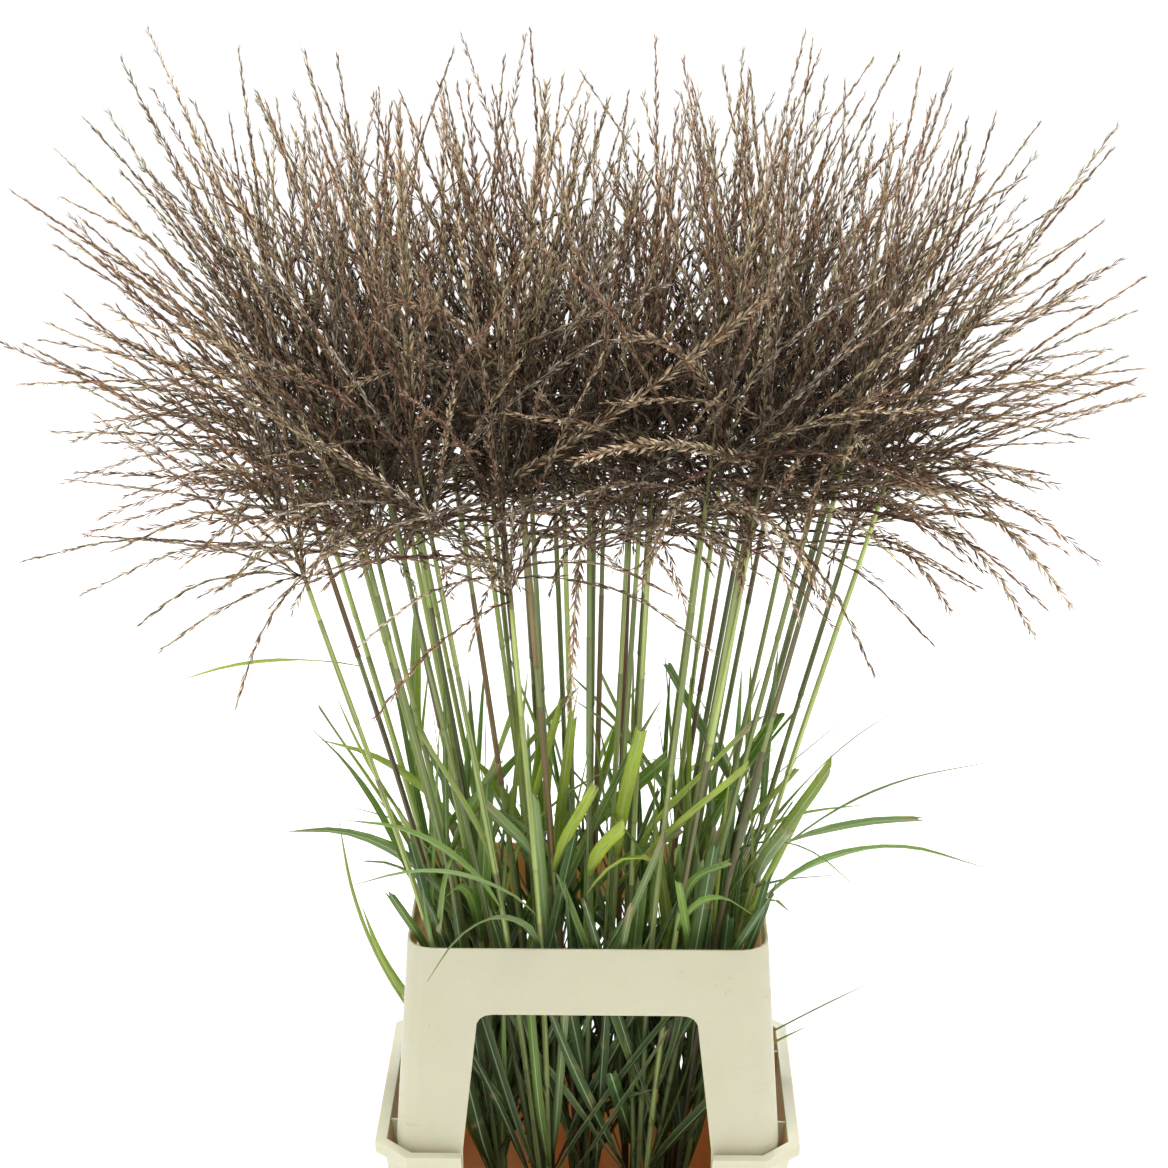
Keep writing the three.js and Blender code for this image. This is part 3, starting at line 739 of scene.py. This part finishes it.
def tube(stuff, points, radius, sides, across, tints, start=0.0):
    """A closed tube. radius and tints are one for each point."""
    _, side, over = frames_of(points, across)
    n = len(points)
    turn = np.arange(sides) * TURN / sides
    ring = side[:, None] * np.cos(turn)[None, :, None] + over[:, None] * np.sin(turn)[None, :, None]
    verts = points[:, None] + ring * np.asarray(radius)[:, None, None]
    faces = ring_faces(n, sides)[:, [0, 3, 2, 1]]
    maps = np.broadcast_arrays((turn / TURN)[None], (start + distances(points))[:, None])
    shade = np.repeat(np.broadcast_to(tints, (n, 3)), sides, 0)
    base = stuff.add(verts, faces, np.stack(maps, -1).reshape(-1, 2), shade)
    for end, order in ((0, -1), (n - 1, 1)):
        first = base + end * sides
        fan = np.array([(first, first + m, first + m + 1)[::order] for m in range(1, sides - 1)])
        stuff.tris.append(fan)


# Plumes

PALE = rgb(0.55, 0.44, 0.29)
STRAWY = rgb(0.43, 0.37, 0.22)
SILVER = rgb(0.6, 0.52, 0.42)
MAUVE = rgb(0.36, 0.23, 0.15)
TAUPE = rgb(0.19, 0.13, 0.085)
DARK = rgb(0.05, 0.028, 0.018)
PURPLE = rgb(0.09, 0.035, 0.032)
GREENISH = rgb(0.2, 0.21, 0.09)
ANTHER = rgb(0.05, 0.018, 0.022)
HAIR = rgb(0.74, 0.63, 0.49)
SPIKELET_GAP = 6.6
SPIKELET_LENGTH, SPIKELET_WIDTH = (9.5, 13), (1.6, 2.4)
ANTHER_LENGTH, ANTHER_WIDTH = (2.2, 3.6), 0.6
HAIR_LENGTH, HAIR_HALF_WIDTH = (5, 9), 0.28
# Heights, and shares of the way out to the rim, between which the plumes go from painted shade to painted
# light
PAINTED_LIT_TOP, PAINTED_LIT_FOOT, PAINTED_LIT_SHARE = [1000, 1190], [850, 960], [0.55, 1.0]
RIM = (450, 370)
BODY_TRIS = np.array([[0, 2, 1], [0, 3, 2], [0, 1, 3], [1, 2, 4], [2, 3, 4], [3, 1, 4]])


def spindles(stuff, base, direction, length, width, maps, low, middle, high):
    """Slim three-sided bodies, pointed at both ends, one for each row."""
    n = len(base)
    if not n:
        return
    guide = np.where(np.abs(direction[:, 2:3]) > 0.9, np.array([[1.0, 0, 0]]), np.array([[0, 0, 1.0]]))
    side = normed(np.cross(direction, guide))
    over = np.cross(direction, side)
    waist = base + direction * (length * 0.42)[:, None]
    verts = np.empty((n, 5, 3))
    verts[:, 0], verts[:, 4] = base, base + direction * length[:, None]
    for k in range(3):
        a = k * TURN / 3
        verts[:, 1 + k] = waist + (side * math.cos(a) + over * math.sin(a)) * (width / 2)[:, None]
    tints = np.stack([low, middle, middle * 0.93, middle, high], 1)
    faces = (BODY_TRIS[None] + 5 * np.arange(n)[:, None, None]).reshape(-1, 3)
    stuff.add(verts, faces, np.repeat(maps, 5, 0), tints.reshape(-1, 3))


def painted_lightness(points):
    """How much painted light a plume gets at a point: painted shade in the middle of the grass, painted light
    on top, at the low fringe and round its outside.
    """
    top = np.interp(points[:, 2], PAINTED_LIT_TOP, [0, 1])
    foot = np.interp(points[:, 2], PAINTED_LIT_FOOT, [1.2, 0])
    rim = np.interp(np.hypot(points[:, 0] / RIM[0], points[:, 1] / RIM[1]), PAINTED_LIT_SHARE, [0, 1.25])
    return np.maximum(np.maximum(top, foot), rim)[:, None]


def raceme(stuff, path, rng, size=1.0, spacing=1.0, is_front=False):
    """A raceme with its paired spikelets, their hairs and, here and there, a hanging anther."""
    points, at = curve_through(path, 20)
    whole = at[-1]
    across = side_of(path)
    tone = rng.uniform(0.75, 1.25)
    hue = 0 if is_front else rng.choice(4, p=[0.3, 0.25, 0.3, 0.15])
    light = (PALE, STRAWY, MAUVE, SILVER)[hue] * tone
    dull = (DARK, PURPLE, TAUPE)[rng.integers(3)] * tone
    # Painted shade: the rachis is darker towards its root
    shade = np.interp(at / whole, [0, 1], [0.4, 1])[:, None]
    radius = np.interp(at, [0, 0.2 * whole, whole], [0.8, 0.6, 0.3])
    tube(stuff, points, radius, 3, across, (light * 0.5) * shade)
    s = np.arange(0.03 * whole, whole - 3, SPIKELET_GAP * spacing)
    s = s + rng.uniform(-1, 1, len(s))
    share = s / whole
    place = at_distance(points, at, s)
    along, side, over = (at_distance(v, at, s) for v in frames_of(points, across))
    # Painted light and shade: spikelets and hairs are darker in the middle of the grass and towards the
    # raceme's root, and lighter on top, at the low fringe, round the outside and on the front racemes
    painted_lit = np.maximum(painted_lightness(place), 0.9 if is_front else 0)
    taper = np.interp(share, [0, 0.1, 0.75, 1], [0.7, 1, 1, 0.7]) * size
    wind = 0.36 if is_front else rng.choice([0.07, 0.12, 0.2, 0.32], p=[0.2, 0.3, 0.28, 0.22])
    plane = rng.uniform(0, TURN)
    deep = mix(dull, MAUVE * 0.6 * tone, 0.6 * painted_lit)
    for twin in (0, 1):
        n = len(s)
        turn = plane + GOLDEN_ANGLE * np.arange(n) + (twin * 2.6 + rng.normal(0, 0.5, n))
        lean = np.abs(rng.normal(wind, 0.06, n))
        out = side * np.cos(turn)[:, None] + over * np.sin(turn)[:, None]
        direction = normed(along * np.cos(lean)[:, None] + out * np.sin(lean)[:, None])
        base = place + out * 0.5 * taper[:, None] + along * (2.8 * twin)
        length = rng.uniform(*SPIKELET_LENGTH, n) * taper
        width = rng.uniform(*SPIKELET_WIDTH, n) * taper * (1.12 - 0.2 * painted_lit[:, 0])
        # Painted light and shade, then a random tone for each spikelet
        painted_light_and_tone = 0.16 + 0.14 * share[:, None] + 0.7 * painted_lit
        painted_light_and_tone = painted_light_and_tone * rng.lognormal(0, 0.22, (n, 1))
        is_light = rng.random((n, 1)) < (0.8 if is_front else 0.35 + 0.35 * painted_lit)
        middle = np.where(is_light, light, deep) * painted_light_and_tone
        low = (0.8 * deep + 0.06 * light) * painted_light_and_tone
        high = light * rng.uniform(0.75, 1.35, (n, 1)) * painted_light_and_tone
        maps = np.stack([rng.random(n), s], 1)
        spindles(stuff, base, direction, length, width, maps, low, middle, high)
        held = np.flatnonzero(rng.random(n) < 0.1)
        hang = normed(rng.normal(0, 0.6, (len(held), 3)) + out[held] + np.array([0, 0, -0.8]))
        start = base[held] + direction[held] * (0.55 * length[held])[:, None] + out[held] * 0.6
        dark = ANTHER * rng.uniform(0.7, 2.4, (len(held), 1))
        reach, thick = rng.uniform(*ANTHER_LENGTH, len(held)), np.full(len(held), ANTHER_WIDTH)
        spindles(stuff, start, hang, reach, thick, maps[held], dark, dark, dark)
        tufts = np.arange(n)[twin::2]
        tuft = direction[tufts] + out[tufts] * rng.uniform(0.3, 0.9, (len(tufts), 1))
        root = base[tufts]
        hair = normed(tuft + rng.normal(0, 0.15, tuft.shape))
        tip = root + hair * rng.uniform(*HAIR_LENGTH, (len(tufts), 1)) * size
        wide = normed(np.cross(direction[tufts], out[tufts])) * HAIR_HALF_WIDTH
        hairs = np.stack([root - wide, root + wide, tip], 1).reshape(-1, 3)
        tint = np.repeat(HAIR * tone * painted_light_and_tone[tufts], 3, 0)
        stuff.add(hairs, np.arange(len(hairs)).reshape(-1, 3), np.repeat(maps[tufts], 3, 0), tint)


def plumes(bunch, name, rng):
    stuff = Stuff()
    for stem in range(STEMS):
        low, high = axes[bunch][stem]["path"]
        points, at = curve_through([low, between(low, high, 0.5), high], 8)
        shade = np.linspace(0, 1, len(points))[:, None]
        radius = np.linspace(2.1, 0.8, len(points))
        tube(stuff, points, radius, 6, (1, 0, 0), GREENISH * (1 - shade) + TAUPE * shade)
        for path in racemes[bunch][stem] + ([links[bunch][stem]] if links[bunch][stem] else []):
            raceme(stuff, path, rng)
        for path in coarse[bunch][stem]:
            raceme(stuff, path, rng, 1.2, 1.3)
        for front_bunch, front_stem, share, tip, bow, full in FRONT_RACEMES:
            if (front_bunch, front_stem) == (bunch, stem):
                path = bowed(between(low, high, share), tip, bow)
                raceme(stuff, path, rng, full, 0.55, True)
    stuff.build(f"{name}_racemes", plume_material, f"{name}_plumes", "plume_brown")


# Culms and leaves

FRESH = rgb(0.34, 0.42, 0.13)
OLIVE = rgb(0.13, 0.165, 0.055)
BROWN = rgb(0.1, 0.07, 0.045)
STRAW = rgb(0.36, 0.29, 0.15)
RED = rgb(0.13, 0.042, 0.028)
GREEN = rgb(0.12, 0.22, 0.03)
LIME = rgb(0.28, 0.37, 0.035)
GREY_GREEN = rgb(0.17, 0.26, 0.09)
# A dark green for blades low inside the collar: their green, darkened as painted shade
SHADED_GREEN = rgb(0.03, 0.075, 0.018)
# Heights between which the shade inside the collar ends
CULM_SHADE_Z, LEAF_SHADE_Z = [280, 450], [260, 430]
LOW_LEAF_Z = 400
LEAF_HALF_THICK = 0.18
# Shares of a leaf's length, and its width there as a share of its full width
POINTED = [0, 0.06, 0.2, 0.55, 0.85, 1], [0.3, 0.55, 1, 1, 0.5, 0.03]
TORN = [0, 0.08, 0.3, 0.8, 1], [0.3, 0.6, 1, 0.95, 0.8]


def culm(stuff, path, rng):
    """A culm, mostly wrapped in the long sheaths of its leaves. Each sheath starts at a node."""
    points, at = curve_through(path, 30)
    whole = at[-1]
    nodes = [rng.uniform(60, 150)]
    while nodes[-1] < whole - 300:
        nodes.append(nodes[-1] + rng.uniform(150, 260))
    ends = [high - (high - low) * rng.uniform(0, 0.3) for low, high in zip(nodes, nodes[1:])]
    ends.append(min(nodes[-1] + rng.uniform(90, 240), whole - 30))
    stops = set(at.tolist())
    for low, end in zip(nodes, ends):
        stops.update(low + d for d in (-4, -2, 0, 1.6, 3, 6))
        stops.update(end + d for d in (-24, -6, -0.5, 0, 1))
    stops = np.array(sorted(d for d in stops if 0 <= d <= whole))
    stops = stops[np.concatenate([[True], np.diff(stops) > 0.2])]
    centres = at_distance(points, at, stops)
    radius = np.interp(centres[:, 2], [0, PLUME_Z], [2.9, 2.1])
    t = (stops / whole)[:, None]
    fresh = FRESH * rng.uniform(0.75, 1.3)
    mood = rng.choice([0, 1, 2, 3], p=[0.44, 0.3, 0.16, 0.1])
    bare = mix(fresh, (fresh, OLIVE, OLIVE, BROWN)[mood], 0.6)
    tints = bare * (0.75 + 0.4 * t)
    tints = np.where(t < 0.16, tints * 0.35 + STRAW * 0.5, tints)
    for low, end in zip(nodes, ends):
        inside = (stops >= low) & (stops < end)
        reach = np.clip((stops - low) / (end - low), 0, 1)[:, None]
        dye = (fresh * 0.85, OLIVE, BROWN, RED)[mood if rng.random() < 0.8 else rng.integers(4)]
        wrap = dye * rng.uniform(0.85, 1.25) * (1.1 - 0.25 * reach) + fresh * rng.uniform(0.05, 0.3) * t
        dry = np.clip((reach - 0.85) / 0.15, 0, 1) * rng.uniform(0.2, 0.9)
        wrap = mix(wrap, BROWN * 1.5 + 0.2 * wrap, dry)
        tints = np.where(inside[:, None], wrap, tints)
        radius = radius + np.where(inside, 0.32 * (1 - 0.35 * reach[:, 0]), 0)
        radius = radius + 0.3 * np.exp(-(((stops - low) / 2.4) ** 2))
        tints = tints * (1 - 0.4 * np.exp(-(((stops - low + 1) / 1.6) ** 2)))[:, None]
    tints = tints * np.interp(centres[:, 2], CULM_SHADE_Z, [0.55, 1])[:, None]
    radius[0] *= 0.93
    tube(stuff, centres, radius, 8, (1, 0, 0), tints, start=rng.uniform(0, 5000))


def leaf(stuff, shape, rng):
    """A keeled, twisted blade with a point, or a torn end where it is short."""
    path, width = shape["path"], shape["width"]
    points, at = curve_through(path, 18)
    n = len(points)
    t = at / at[-1]
    half = np.interp(t, *(POINTED if shape["is_long"] else TORN)) * width / 2
    across = side_of(path)
    _, side, over = frames_of(points, across)
    facing = np.sign(over[n // 2, 1] * side[n // 2, 2] - side[n // 2, 1] * over[n // 2, 2]) or 1
    turned = rng.uniform(0.2, 1.25)
    # The two blades that bend up out of the left window show their broad side
    bends_up = shape["fall"] < -0.5
    twist = facing * (1.3 if bends_up else turned) * np.clip(t / 0.45, 0, 1) ** 1.3
    cos, sin = np.cos(twist)[:, None], np.sin(twist)[:, None]
    side, over = side * cos + over * sin, over * cos - side * sin
    lanes = np.array([-1, -0.5, 0, 0.5, 1])
    round_lanes = np.concatenate([lanes, lanes[::-1]])
    keel = np.array([0.1, -0.5, -1.0, -0.5, 0.1]) * 0.24
    phase = rng.uniform(0, TURN, 5)
    wave = 0.12 * np.sin(at[:, None] / rng.uniform(16, 30) + phase[None]) * np.abs(lanes)[None]
    thick = np.interp(np.abs(lanes), [0, 1], [1.6, 0.6])[None]
    rows = []
    for level in (LEAF_HALF_THICK, -LEAF_HALF_THICK):
        lift = keel[None] * half[:, None] + wave * half[:, None] + level * thick
        out = side[:, None] * (lanes[None] * half[:, None])[..., None]
        rows.append(points[:, None] + out + over[:, None] * lift[..., None])
    verts = np.concatenate([rows[0], rows[1][:, ::-1]], 1)
    m = len(round_lanes)
    if not shape["is_long"]:
        torn = rng.uniform(-0.5, 0.5) * round_lanes + rng.uniform(-0.35, 0.35, m)
        verts[-1] += (points[-1] - points[-2])[None] * torn[:, None]
    maps = np.stack(np.broadcast_arrays(round_lanes[None], (at + rng.uniform(0, 3000))[:, None]), -1)
    bright = rng.random()
    # Blades low inside the collar are mostly dark green and never bright: painted shade. The blades that bend
    # up out of the left window, in the light, are left out.
    low = path[0][2] < LOW_LEAF_Z and not bends_up
    kind = rng.random()
    hue = LIME if bends_up or 0.4 <= kind < 0.72 else (GREEN if kind < 0.4 else GREY_GREEN)
    is_painted_shaded = low and bright < 0.72
    green = SHADED_GREEN * rng.uniform(0.7, 1.5) if is_painted_shaded else hue * rng.uniform(0.6, 1.0 if low else 1.35)
    tip = STRAW * 0.8 if rng.random() < 0.35 else green
    shade = green[None] * (1 - t[:, None]) + (green * 1.15)[None] * t[:, None]
    dry = np.clip((t - rng.uniform(0.78, 0.95)) / 0.12, 0, 1)[:, None]
    shade = shade * (1 - dry) + tip * dry
    shade = shade * np.interp(points[:, 2], LEAF_SHADE_Z, [0.9 if bends_up else 0.55, 1])[:, None]
    base = stuff.add(verts, ring_faces(n, m), maps.reshape(-1, 2), np.repeat(shade, m, 0))
    for end in (0, n - 1):
        first = base + end * m
        cap = [(first + a, first + a + 1, first + m - 2 - a, first + m - 1 - a) for a in range(m // 2 - 1)]
        stuff.quads.append(np.array([q if end else q[::-1] for q in cap])[:, ::-1])


def stalks(bunch, name, rng):
    stuff, blades = Stuff(), Stuff()
    for stem in range(STEMS):
        culm(stuff, culms[bunch][stem], rng)
    stuff.build(f"{name}_stalks", culm_material, f"{name}_culms", "culm_green")
    for stem in range(STEMS):
        for shape in leaves[bunch][stem]:
            leaf(blades, shape, rng)
    blades.build(f"{name}_leaves", leaf_material, f"{name}_culms", "culm_green")


# Bands round the bunches

BAND_LAPS, BAND_STEPS, BAND_SIDES = 3, 32, 6
BAND_RADIUS, BAND_HALF_THICK, BAND_HALF_WIDTH, LAP_RISE = 10.6, 0.55, 0.75, 1.35
BAND_TAN = (0.55, 0.36, 0.16)


def band(bunch, name, rng):
    """A rubber band, wound round its bunch in uneven laps."""
    stuff = Stuff()
    middle = np.array(bunch_middle(bunch, TIE_Z))
    turn = np.linspace(0, TURN, BAND_STEPS + 1)[:-1]
    out = np.stack([np.cos(turn), np.sin(turn), 0 * turn], 1)
    section = [(math.cos(a), math.sin(a)) for a in np.arange(BAND_SIDES) * TURN / BAND_SIDES]
    section = np.array(section) * (BAND_HALF_THICK, BAND_HALF_WIDTH)
    rim = out[:, None] * section[None, :, :1]
    for lap in range(BAND_LAPS):
        lift = (lap - 1) * LAP_RISE + 0.5 * np.sin(turn * (lap + 1) + rng.uniform(0, TURN))
        radius = BAND_RADIUS + 0.25 * np.cos(5 * turn - 0.37 * bunch * TURN) + 0.3 * (lap == 1)
        centre = middle + np.stack([radius * np.cos(turn), radius * np.sin(turn), lift], 1)
        verts = centre[:, None] + rim + np.array([0, 0, 1.0]) * section[None, :, 1:]
        maps = np.broadcast_arrays((turn / TURN)[:, None], np.full((1, BAND_SIDES), float(lap)))
        faces = ring_faces(BAND_STEPS, BAND_SIDES, True)
        stuff.add(verts, faces, np.stack(maps, -1).reshape(-1, 2), BAND_TAN)
    stuff.build(f"{name}_band", band_material, f"{name}_tie", "rubber_band")


# Materials


class Graph:
    """The nodes of one material, with short calls to add and join them."""

    def __init__(self, name):
        self.material = bpy.data.materials.new(name)
        self.material.use_nodes = True
        self.tree = self.material.node_tree
        self.shader = self.tree.nodes["Principled BSDF"]

    def node(self, kind, inputs=None, **settings):
        made = having(self.tree.nodes.new(kind), **settings)
        self.feed(made, inputs or {})
        return made

    def feed(self, node, inputs):
        for key, value in inputs.items():
            socket = node.inputs[key]
            if isinstance(value, bpy.types.NodeSocket):
                self.tree.links.new(value, socket)
            elif isinstance(value, tuple) and len(value) < len(socket.default_value):
                socket.default_value = (*value, 1)
            else:
                socket.default_value = value

    def set(self, **values):
        self.feed(self.shader, {key.replace("_", " "): value for key, value in values.items()})

    def math(self, operation, a, b=0.0):
        return self.node("ShaderNodeMath", {0: a, 1: b}, operation=operation).outputs[0]

    def span(self, value, low, high, to_low=0.0, to_high=1.0):
        """The value, spread smoothly from low and high to another two numbers."""
        inputs = {"Value": value, "From Min": low, "From Max": high, "To Min": to_low, "To Max": to_high}
        return self.node("ShaderNodeMapRange", inputs, interpolation_type="SMOOTHSTEP").outputs["Result"]

    def blend(self, a, b, amount, how="MIX"):
        inputs = {0: amount, 6: a, 7: b}
        return self.node("ShaderNodeMix", inputs, data_type="RGBA", blend_type=how).outputs[2]

    def layer(self, under, over, value, low, high, most=1.0, how="MIX"):
        """One colour over another, more of it as the value goes from low to high."""
        return self.blend(under, over, self.span(value, low, high, 0, most), how)

    def noise(self, where, scale, detail=3.0, rough=0.55, stretch=(1, 1, 1)):
        where = self.node("ShaderNodeVectorMath", {0: where, 1: stretch}, operation="MULTIPLY").outputs[0]
        inputs = {"Vector": where, "Scale": scale, "Detail": detail, "Roughness": rough}
        return self.node("ShaderNodeTexNoise", inputs).outputs["Fac"]

    def bump(self, height, strength, distance):
        inputs = {"Height": height, "Strength": strength, "Distance": distance}
        self.set(Normal=self.node("ShaderNodeBump", inputs).outputs["Normal"])

    def place(self):
        return self.node("ShaderNodeTexCoord").outputs["Object"]

    def strand(self):
        return self.node("ShaderNodeUVMap", uv_map="Strand").outputs["UV"]

    def tint(self):
        return self.node("ShaderNodeAttribute", attribute_name="Tint").outputs["Color"]


def make_plume_material():
    g = Graph("plume")
    fine = g.noise(g.place(), 900, 2)
    broad = g.noise(g.place(), 38, 2)
    colour = g.layer(g.tint(), (1.35, 1.25, 1.1), fine, 0.4, 0.75, 1, "MULTIPLY")
    colour = g.layer(colour, (0.8, 0.62, 0.56), broad, 0.45, 0.7, 0.8, "MULTIPLY")
    g.set(Base_Color=colour, Roughness=g.span(fine, 0.3, 0.7, 0.7, 0.92), Specular_IOR_Level=0.15)
    g.bump(fine, 0.35, 0.0004)
    return g.material


def make_culm_material():
    g = Graph("culm")
    streak = g.noise(g.strand(), 1, 3, 0.6, (7, 0.004, 1))
    blotch = g.noise(g.place(), 60, 4, 0.6, (1, 1, 0.35))
    rib = g.noise(g.strand(), 1, 1, 0.5, (70, 0.004, 1))
    colour = g.layer(g.tint(), (0.32, 0.3, 0.26), streak, 0.5, 0.66, 0.9, "MULTIPLY")
    colour = g.layer(colour, (1.5, 1.5, 1.35), streak, 0.46, 0.34, 0.9, "MULTIPLY")
    colour = g.layer(colour, (0.38, 0.42, 0.22), blotch, 0.52, 0.72, 0.22)
    colour = g.layer(colour, (0.14, 0.07, 0.05), blotch, 0.4, 0.26, 0.3)
    g.set(Base_Color=colour, Roughness=g.span(blotch, 0.3, 0.7, 0.34, 0.6), Specular_IOR_Level=0.4)
    g.bump(rib, 0.3, 0.0006)
    return g.material


def make_leaf_material():
    g = Graph("leaf")
    lane = g.node("ShaderNodeSeparateXYZ", {0: g.strand()}).outputs[0]
    away = g.math("ABSOLUTE", lane)
    vein = g.math("SINE", g.math("MULTIPLY", lane, 52.0))
    streak = g.noise(g.strand(), 1, 4, 0.6, (5, 0.02, 1))
    blotch = g.noise(g.place(), 45, 4, 0.6)
    colour = g.layer(g.tint(), (0.03, 0.07, 0.012), streak, 0.48, 0.72, 0.55)
    colour = g.layer(colour, (0.24, 0.32, 0.09), vein, 0.3, 1.0, 0.22)
    colour = g.layer(colour, (0.3, 0.23, 0.08), blotch, 0.56, 0.72, 0.5)
    colour = g.layer(colour, (0.4, 0.44, 0.24), away, 0.12, 0.06, 0.8)
    colour = g.layer(colour, (0.3, 0.26, 0.12), away, 0.93, 1.0, 0.6)
    g.set(Base_Color=colour, Roughness=g.span(blotch, 0.3, 0.7, 0.36, 0.58), Specular_IOR_Level=0.45)
    g.set(Subsurface_Weight=0.25, Subsurface_Scale=0.002, Subsurface_Radius=(0.7, 1.0, 0.25))
    g.bump(vein, 0.3, 0.0003)
    return g.material


def make_plastic(name, colour, shade, inner):
    """Moulded ivory plastic, mottled, scuffed and a little dirty. Its inner faces are painted a warmer,
    brighter colour, a painted glow of light shining through the plastic.
    """
    g = Graph(name)
    where = g.place()
    mottle = g.noise(where, 9, 4, 0.6)
    grain = g.noise(where, 1500, 2)
    scuff = g.noise(where, 14, 8, 0.75, (1, 1, 5))
    speck = g.noise(where, 240, 3, 0.7)
    patch = g.noise(where, 18, 2)
    base = g.layer(colour, shade, mottle, 0.35, 0.7, 0.4)
    base = g.layer(base, tuple(0.72 * c for c in shade), scuff, 0.6, 0.72, 0.4)
    dirt = g.math("MULTIPLY", g.span(speck, 0.68, 0.74), g.span(patch, 0.52, 0.66, 0, 0.75))
    base = g.blend(base, (0.13, 0.09, 0.05), dirt)
    # Faces that look towards the middle of the bucket are its inner ones
    facing = {0: g.node("ShaderNodeNewGeometry").outputs["True Normal"], 1: where}
    outwards = g.node("ShaderNodeVectorMath", facing, operation="DOT_PRODUCT").outputs["Value"]
    # Painted glow: light shining through the plastic, painted on the inner faces
    painted_glow = g.blend(inner, tuple(0.7 * c for c in inner), mottle)
    base = g.layer(base, painted_glow, outwards, -0.01, -0.05)
    g.set(Base_Color=base, Roughness=g.span(scuff, 0.35, 0.7, 0.36, 0.62), Specular_IOR_Level=0.45)
    g.set(Subsurface_Weight=0.7, Subsurface_Scale=0.006, Subsurface_Radius=(1.0, 0.62, 0.22))
    g.bump(grain, 0.12, 0.0002)
    return g.material


def make_water():
    g = Graph("water")
    film = g.noise(g.place(), 30, 3)
    g.set(Base_Color=g.layer((0.78, 0.88, 0.83), (0.6, 0.68, 0.5), film, 0.4, 0.7))
    g.set(Roughness=0.03, IOR=1.333, Transmission_Weight=1.0)
    g.bump(g.noise(g.place(), 60, 2), 0.1, 0.001)
    return g.material


def make_band_material():
    g = Graph("band")
    grain = g.noise(g.place(), 1200, 3)
    cloud = g.noise(g.place(), 120, 3)
    colour = g.layer((0.5, 0.29, 0.11), (0.62, 0.45, 0.24), cloud, 0.35, 0.7)
    g.set(Base_Color=g.layer(colour, (0.2, 0.1, 0.04), grain, 0.55, 0.8, 0.5), Roughness=0.62)
    g.bump(grain, 0.3, 0.0003)
    return g.material


plume_material = make_plume_material()
culm_material = make_culm_material()
leaf_material = make_leaf_material()
band_material = make_band_material()
# The last colour of each plastic is the painted glow on its inner faces
bucket_material = make_plastic("bucket", (0.66, 0.65, 0.5), (0.61, 0.59, 0.42), (0.8, 0.66, 0.34))
collar_material = make_plastic("collar", (0.61, 0.59, 0.445), (0.55, 0.525, 0.375), (0.88, 0.8, 0.54))
water_material = make_water()

# Bucket, collar and water, in metres and degrees

PLASTIC_EDGE, WATER_EDGE = 0.0011, 0.0006
SAME_PLACE, FLAT_ANGLE, SHARP_ANGLE = 2e-5, 2, 28


def moulded(node, name, material, edge):
    """The node's shape with rounded edges."""
    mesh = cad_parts[node].data.copy()
    mesh.name = name
    shape = bmesh.new()
    shape.from_mesh(mesh)
    bmesh.ops.remove_doubles(shape, verts=shape.verts, dist=SAME_PLACE)
    flat = math.radians(FLAT_ANGLE)
    bmesh.ops.dissolve_limit(shape, angle_limit=flat, verts=shape.verts, edges=shape.edges)
    shape.to_mesh(mesh)
    shape.free()
    mesh.materials.clear()
    mesh.materials.append(material)
    mesh.polygons.foreach_set("use_smooth", np.ones(len(mesh.polygons), bool))
    having(
        show(name, mesh, node).modifiers.new("edges", "BEVEL"),
        width=edge, segments=3, limit_method="ANGLE", angle_limit=math.radians(SHARP_ANGLE),
        harden_normals=True, use_clamp_overlap=True,
    )


moulded("bucket", "bucket_shell", bucket_material, PLASTIC_EDGE)
moulded("collar", "collar_shell", collar_material, PLASTIC_EDGE)
moulded("water", "water_body", water_material, WATER_EDGE)

for bunch in ALL_BUNCHES:
    for make, seed in ((stalks, 2000), (plumes, 1000), (band, 3000)):
        make(bunch, f"bunch_{bunch + 1:02d}", np.random.default_rng(seed + bunch))

# Floor, camera and light, in metres, degrees and watts

FLOOR_HALF = 60
PHOTO_WIDTH, FOCAL_LENGTH = 1168, 2600  # in pixels of the photo
SENSOR_WIDTH = 36
CAMERA_PLACE = (0.032, -2.276, 1.552)
CAMERA_DOWN, CAMERA_LEFT = 18.2, 0.93
VIEW_DISTANCE = 200
SKY_STRENGTH = 0.8


def floor():
    mesh = bpy.data.meshes.new("floor")
    corners = [(x * FLOOR_HALF, y * FLOOR_HALF, 0) for x, y in ((-1, -1), (1, -1), (1, 1), (-1, 1))]
    mesh.from_pydata(corners, [], [(0, 1, 2, 3)])
    piece = add_object("floor", mesh)
    g = Graph("floor")
    paper = g.noise(g.place(), 40, 4)
    g.set(Base_Color=g.blend((0.93, 0.93, 0.93), (0.97, 0.97, 0.97), paper))
    g.set(Roughness=0.9, Specular_IOR_Level=0.1, Emission_Color=(1, 1, 1), Emission_Strength=0.3)
    mesh.materials.append(g.material)


def lamp(name, position, target, size, power):
    data = having(bpy.data.lights.new(name, "AREA"), shape="DISK", size=size, energy=power)
    towards = Vector(target) - Vector(position)
    add_object(name, data, location=position, rotation_euler=towards.to_track_quat("-Z", "Y").to_euler())


floor()

lens = SENSOR_WIDTH * FOCAL_LENGTH / PHOTO_WIDTH
scene.camera = add_object(
    "camera",
    having(bpy.data.cameras.new("camera"), lens=lens, sensor_width=SENSOR_WIDTH, clip_end=VIEW_DISTANCE),
    location=CAMERA_PLACE,
    rotation_euler=(math.radians(90 - CAMERA_DOWN), 0, math.radians(CAMERA_LEFT)),
)

lamp("key", (-1.0, -1.6, 3.6), (0, 0, 0.7), 1.4, 42)
lamp("fill", (2.4, -1.8, 2.2), (0, 0, 0.6), 1.8, 10)
lamp("back", (0.3, 2.4, 2.9), (0, 0, 0.7), 1.6, 60)

world = bpy.data.worlds.new("surroundings")
world.use_nodes = True
sky = world.node_tree.nodes["Background"]
sky.inputs["Color"].default_value = (1, 1, 1, 1)
sky.inputs["Strength"].default_value = SKY_STRENGTH
scene.world = world
scene.view_settings.view_transform = "Standard"
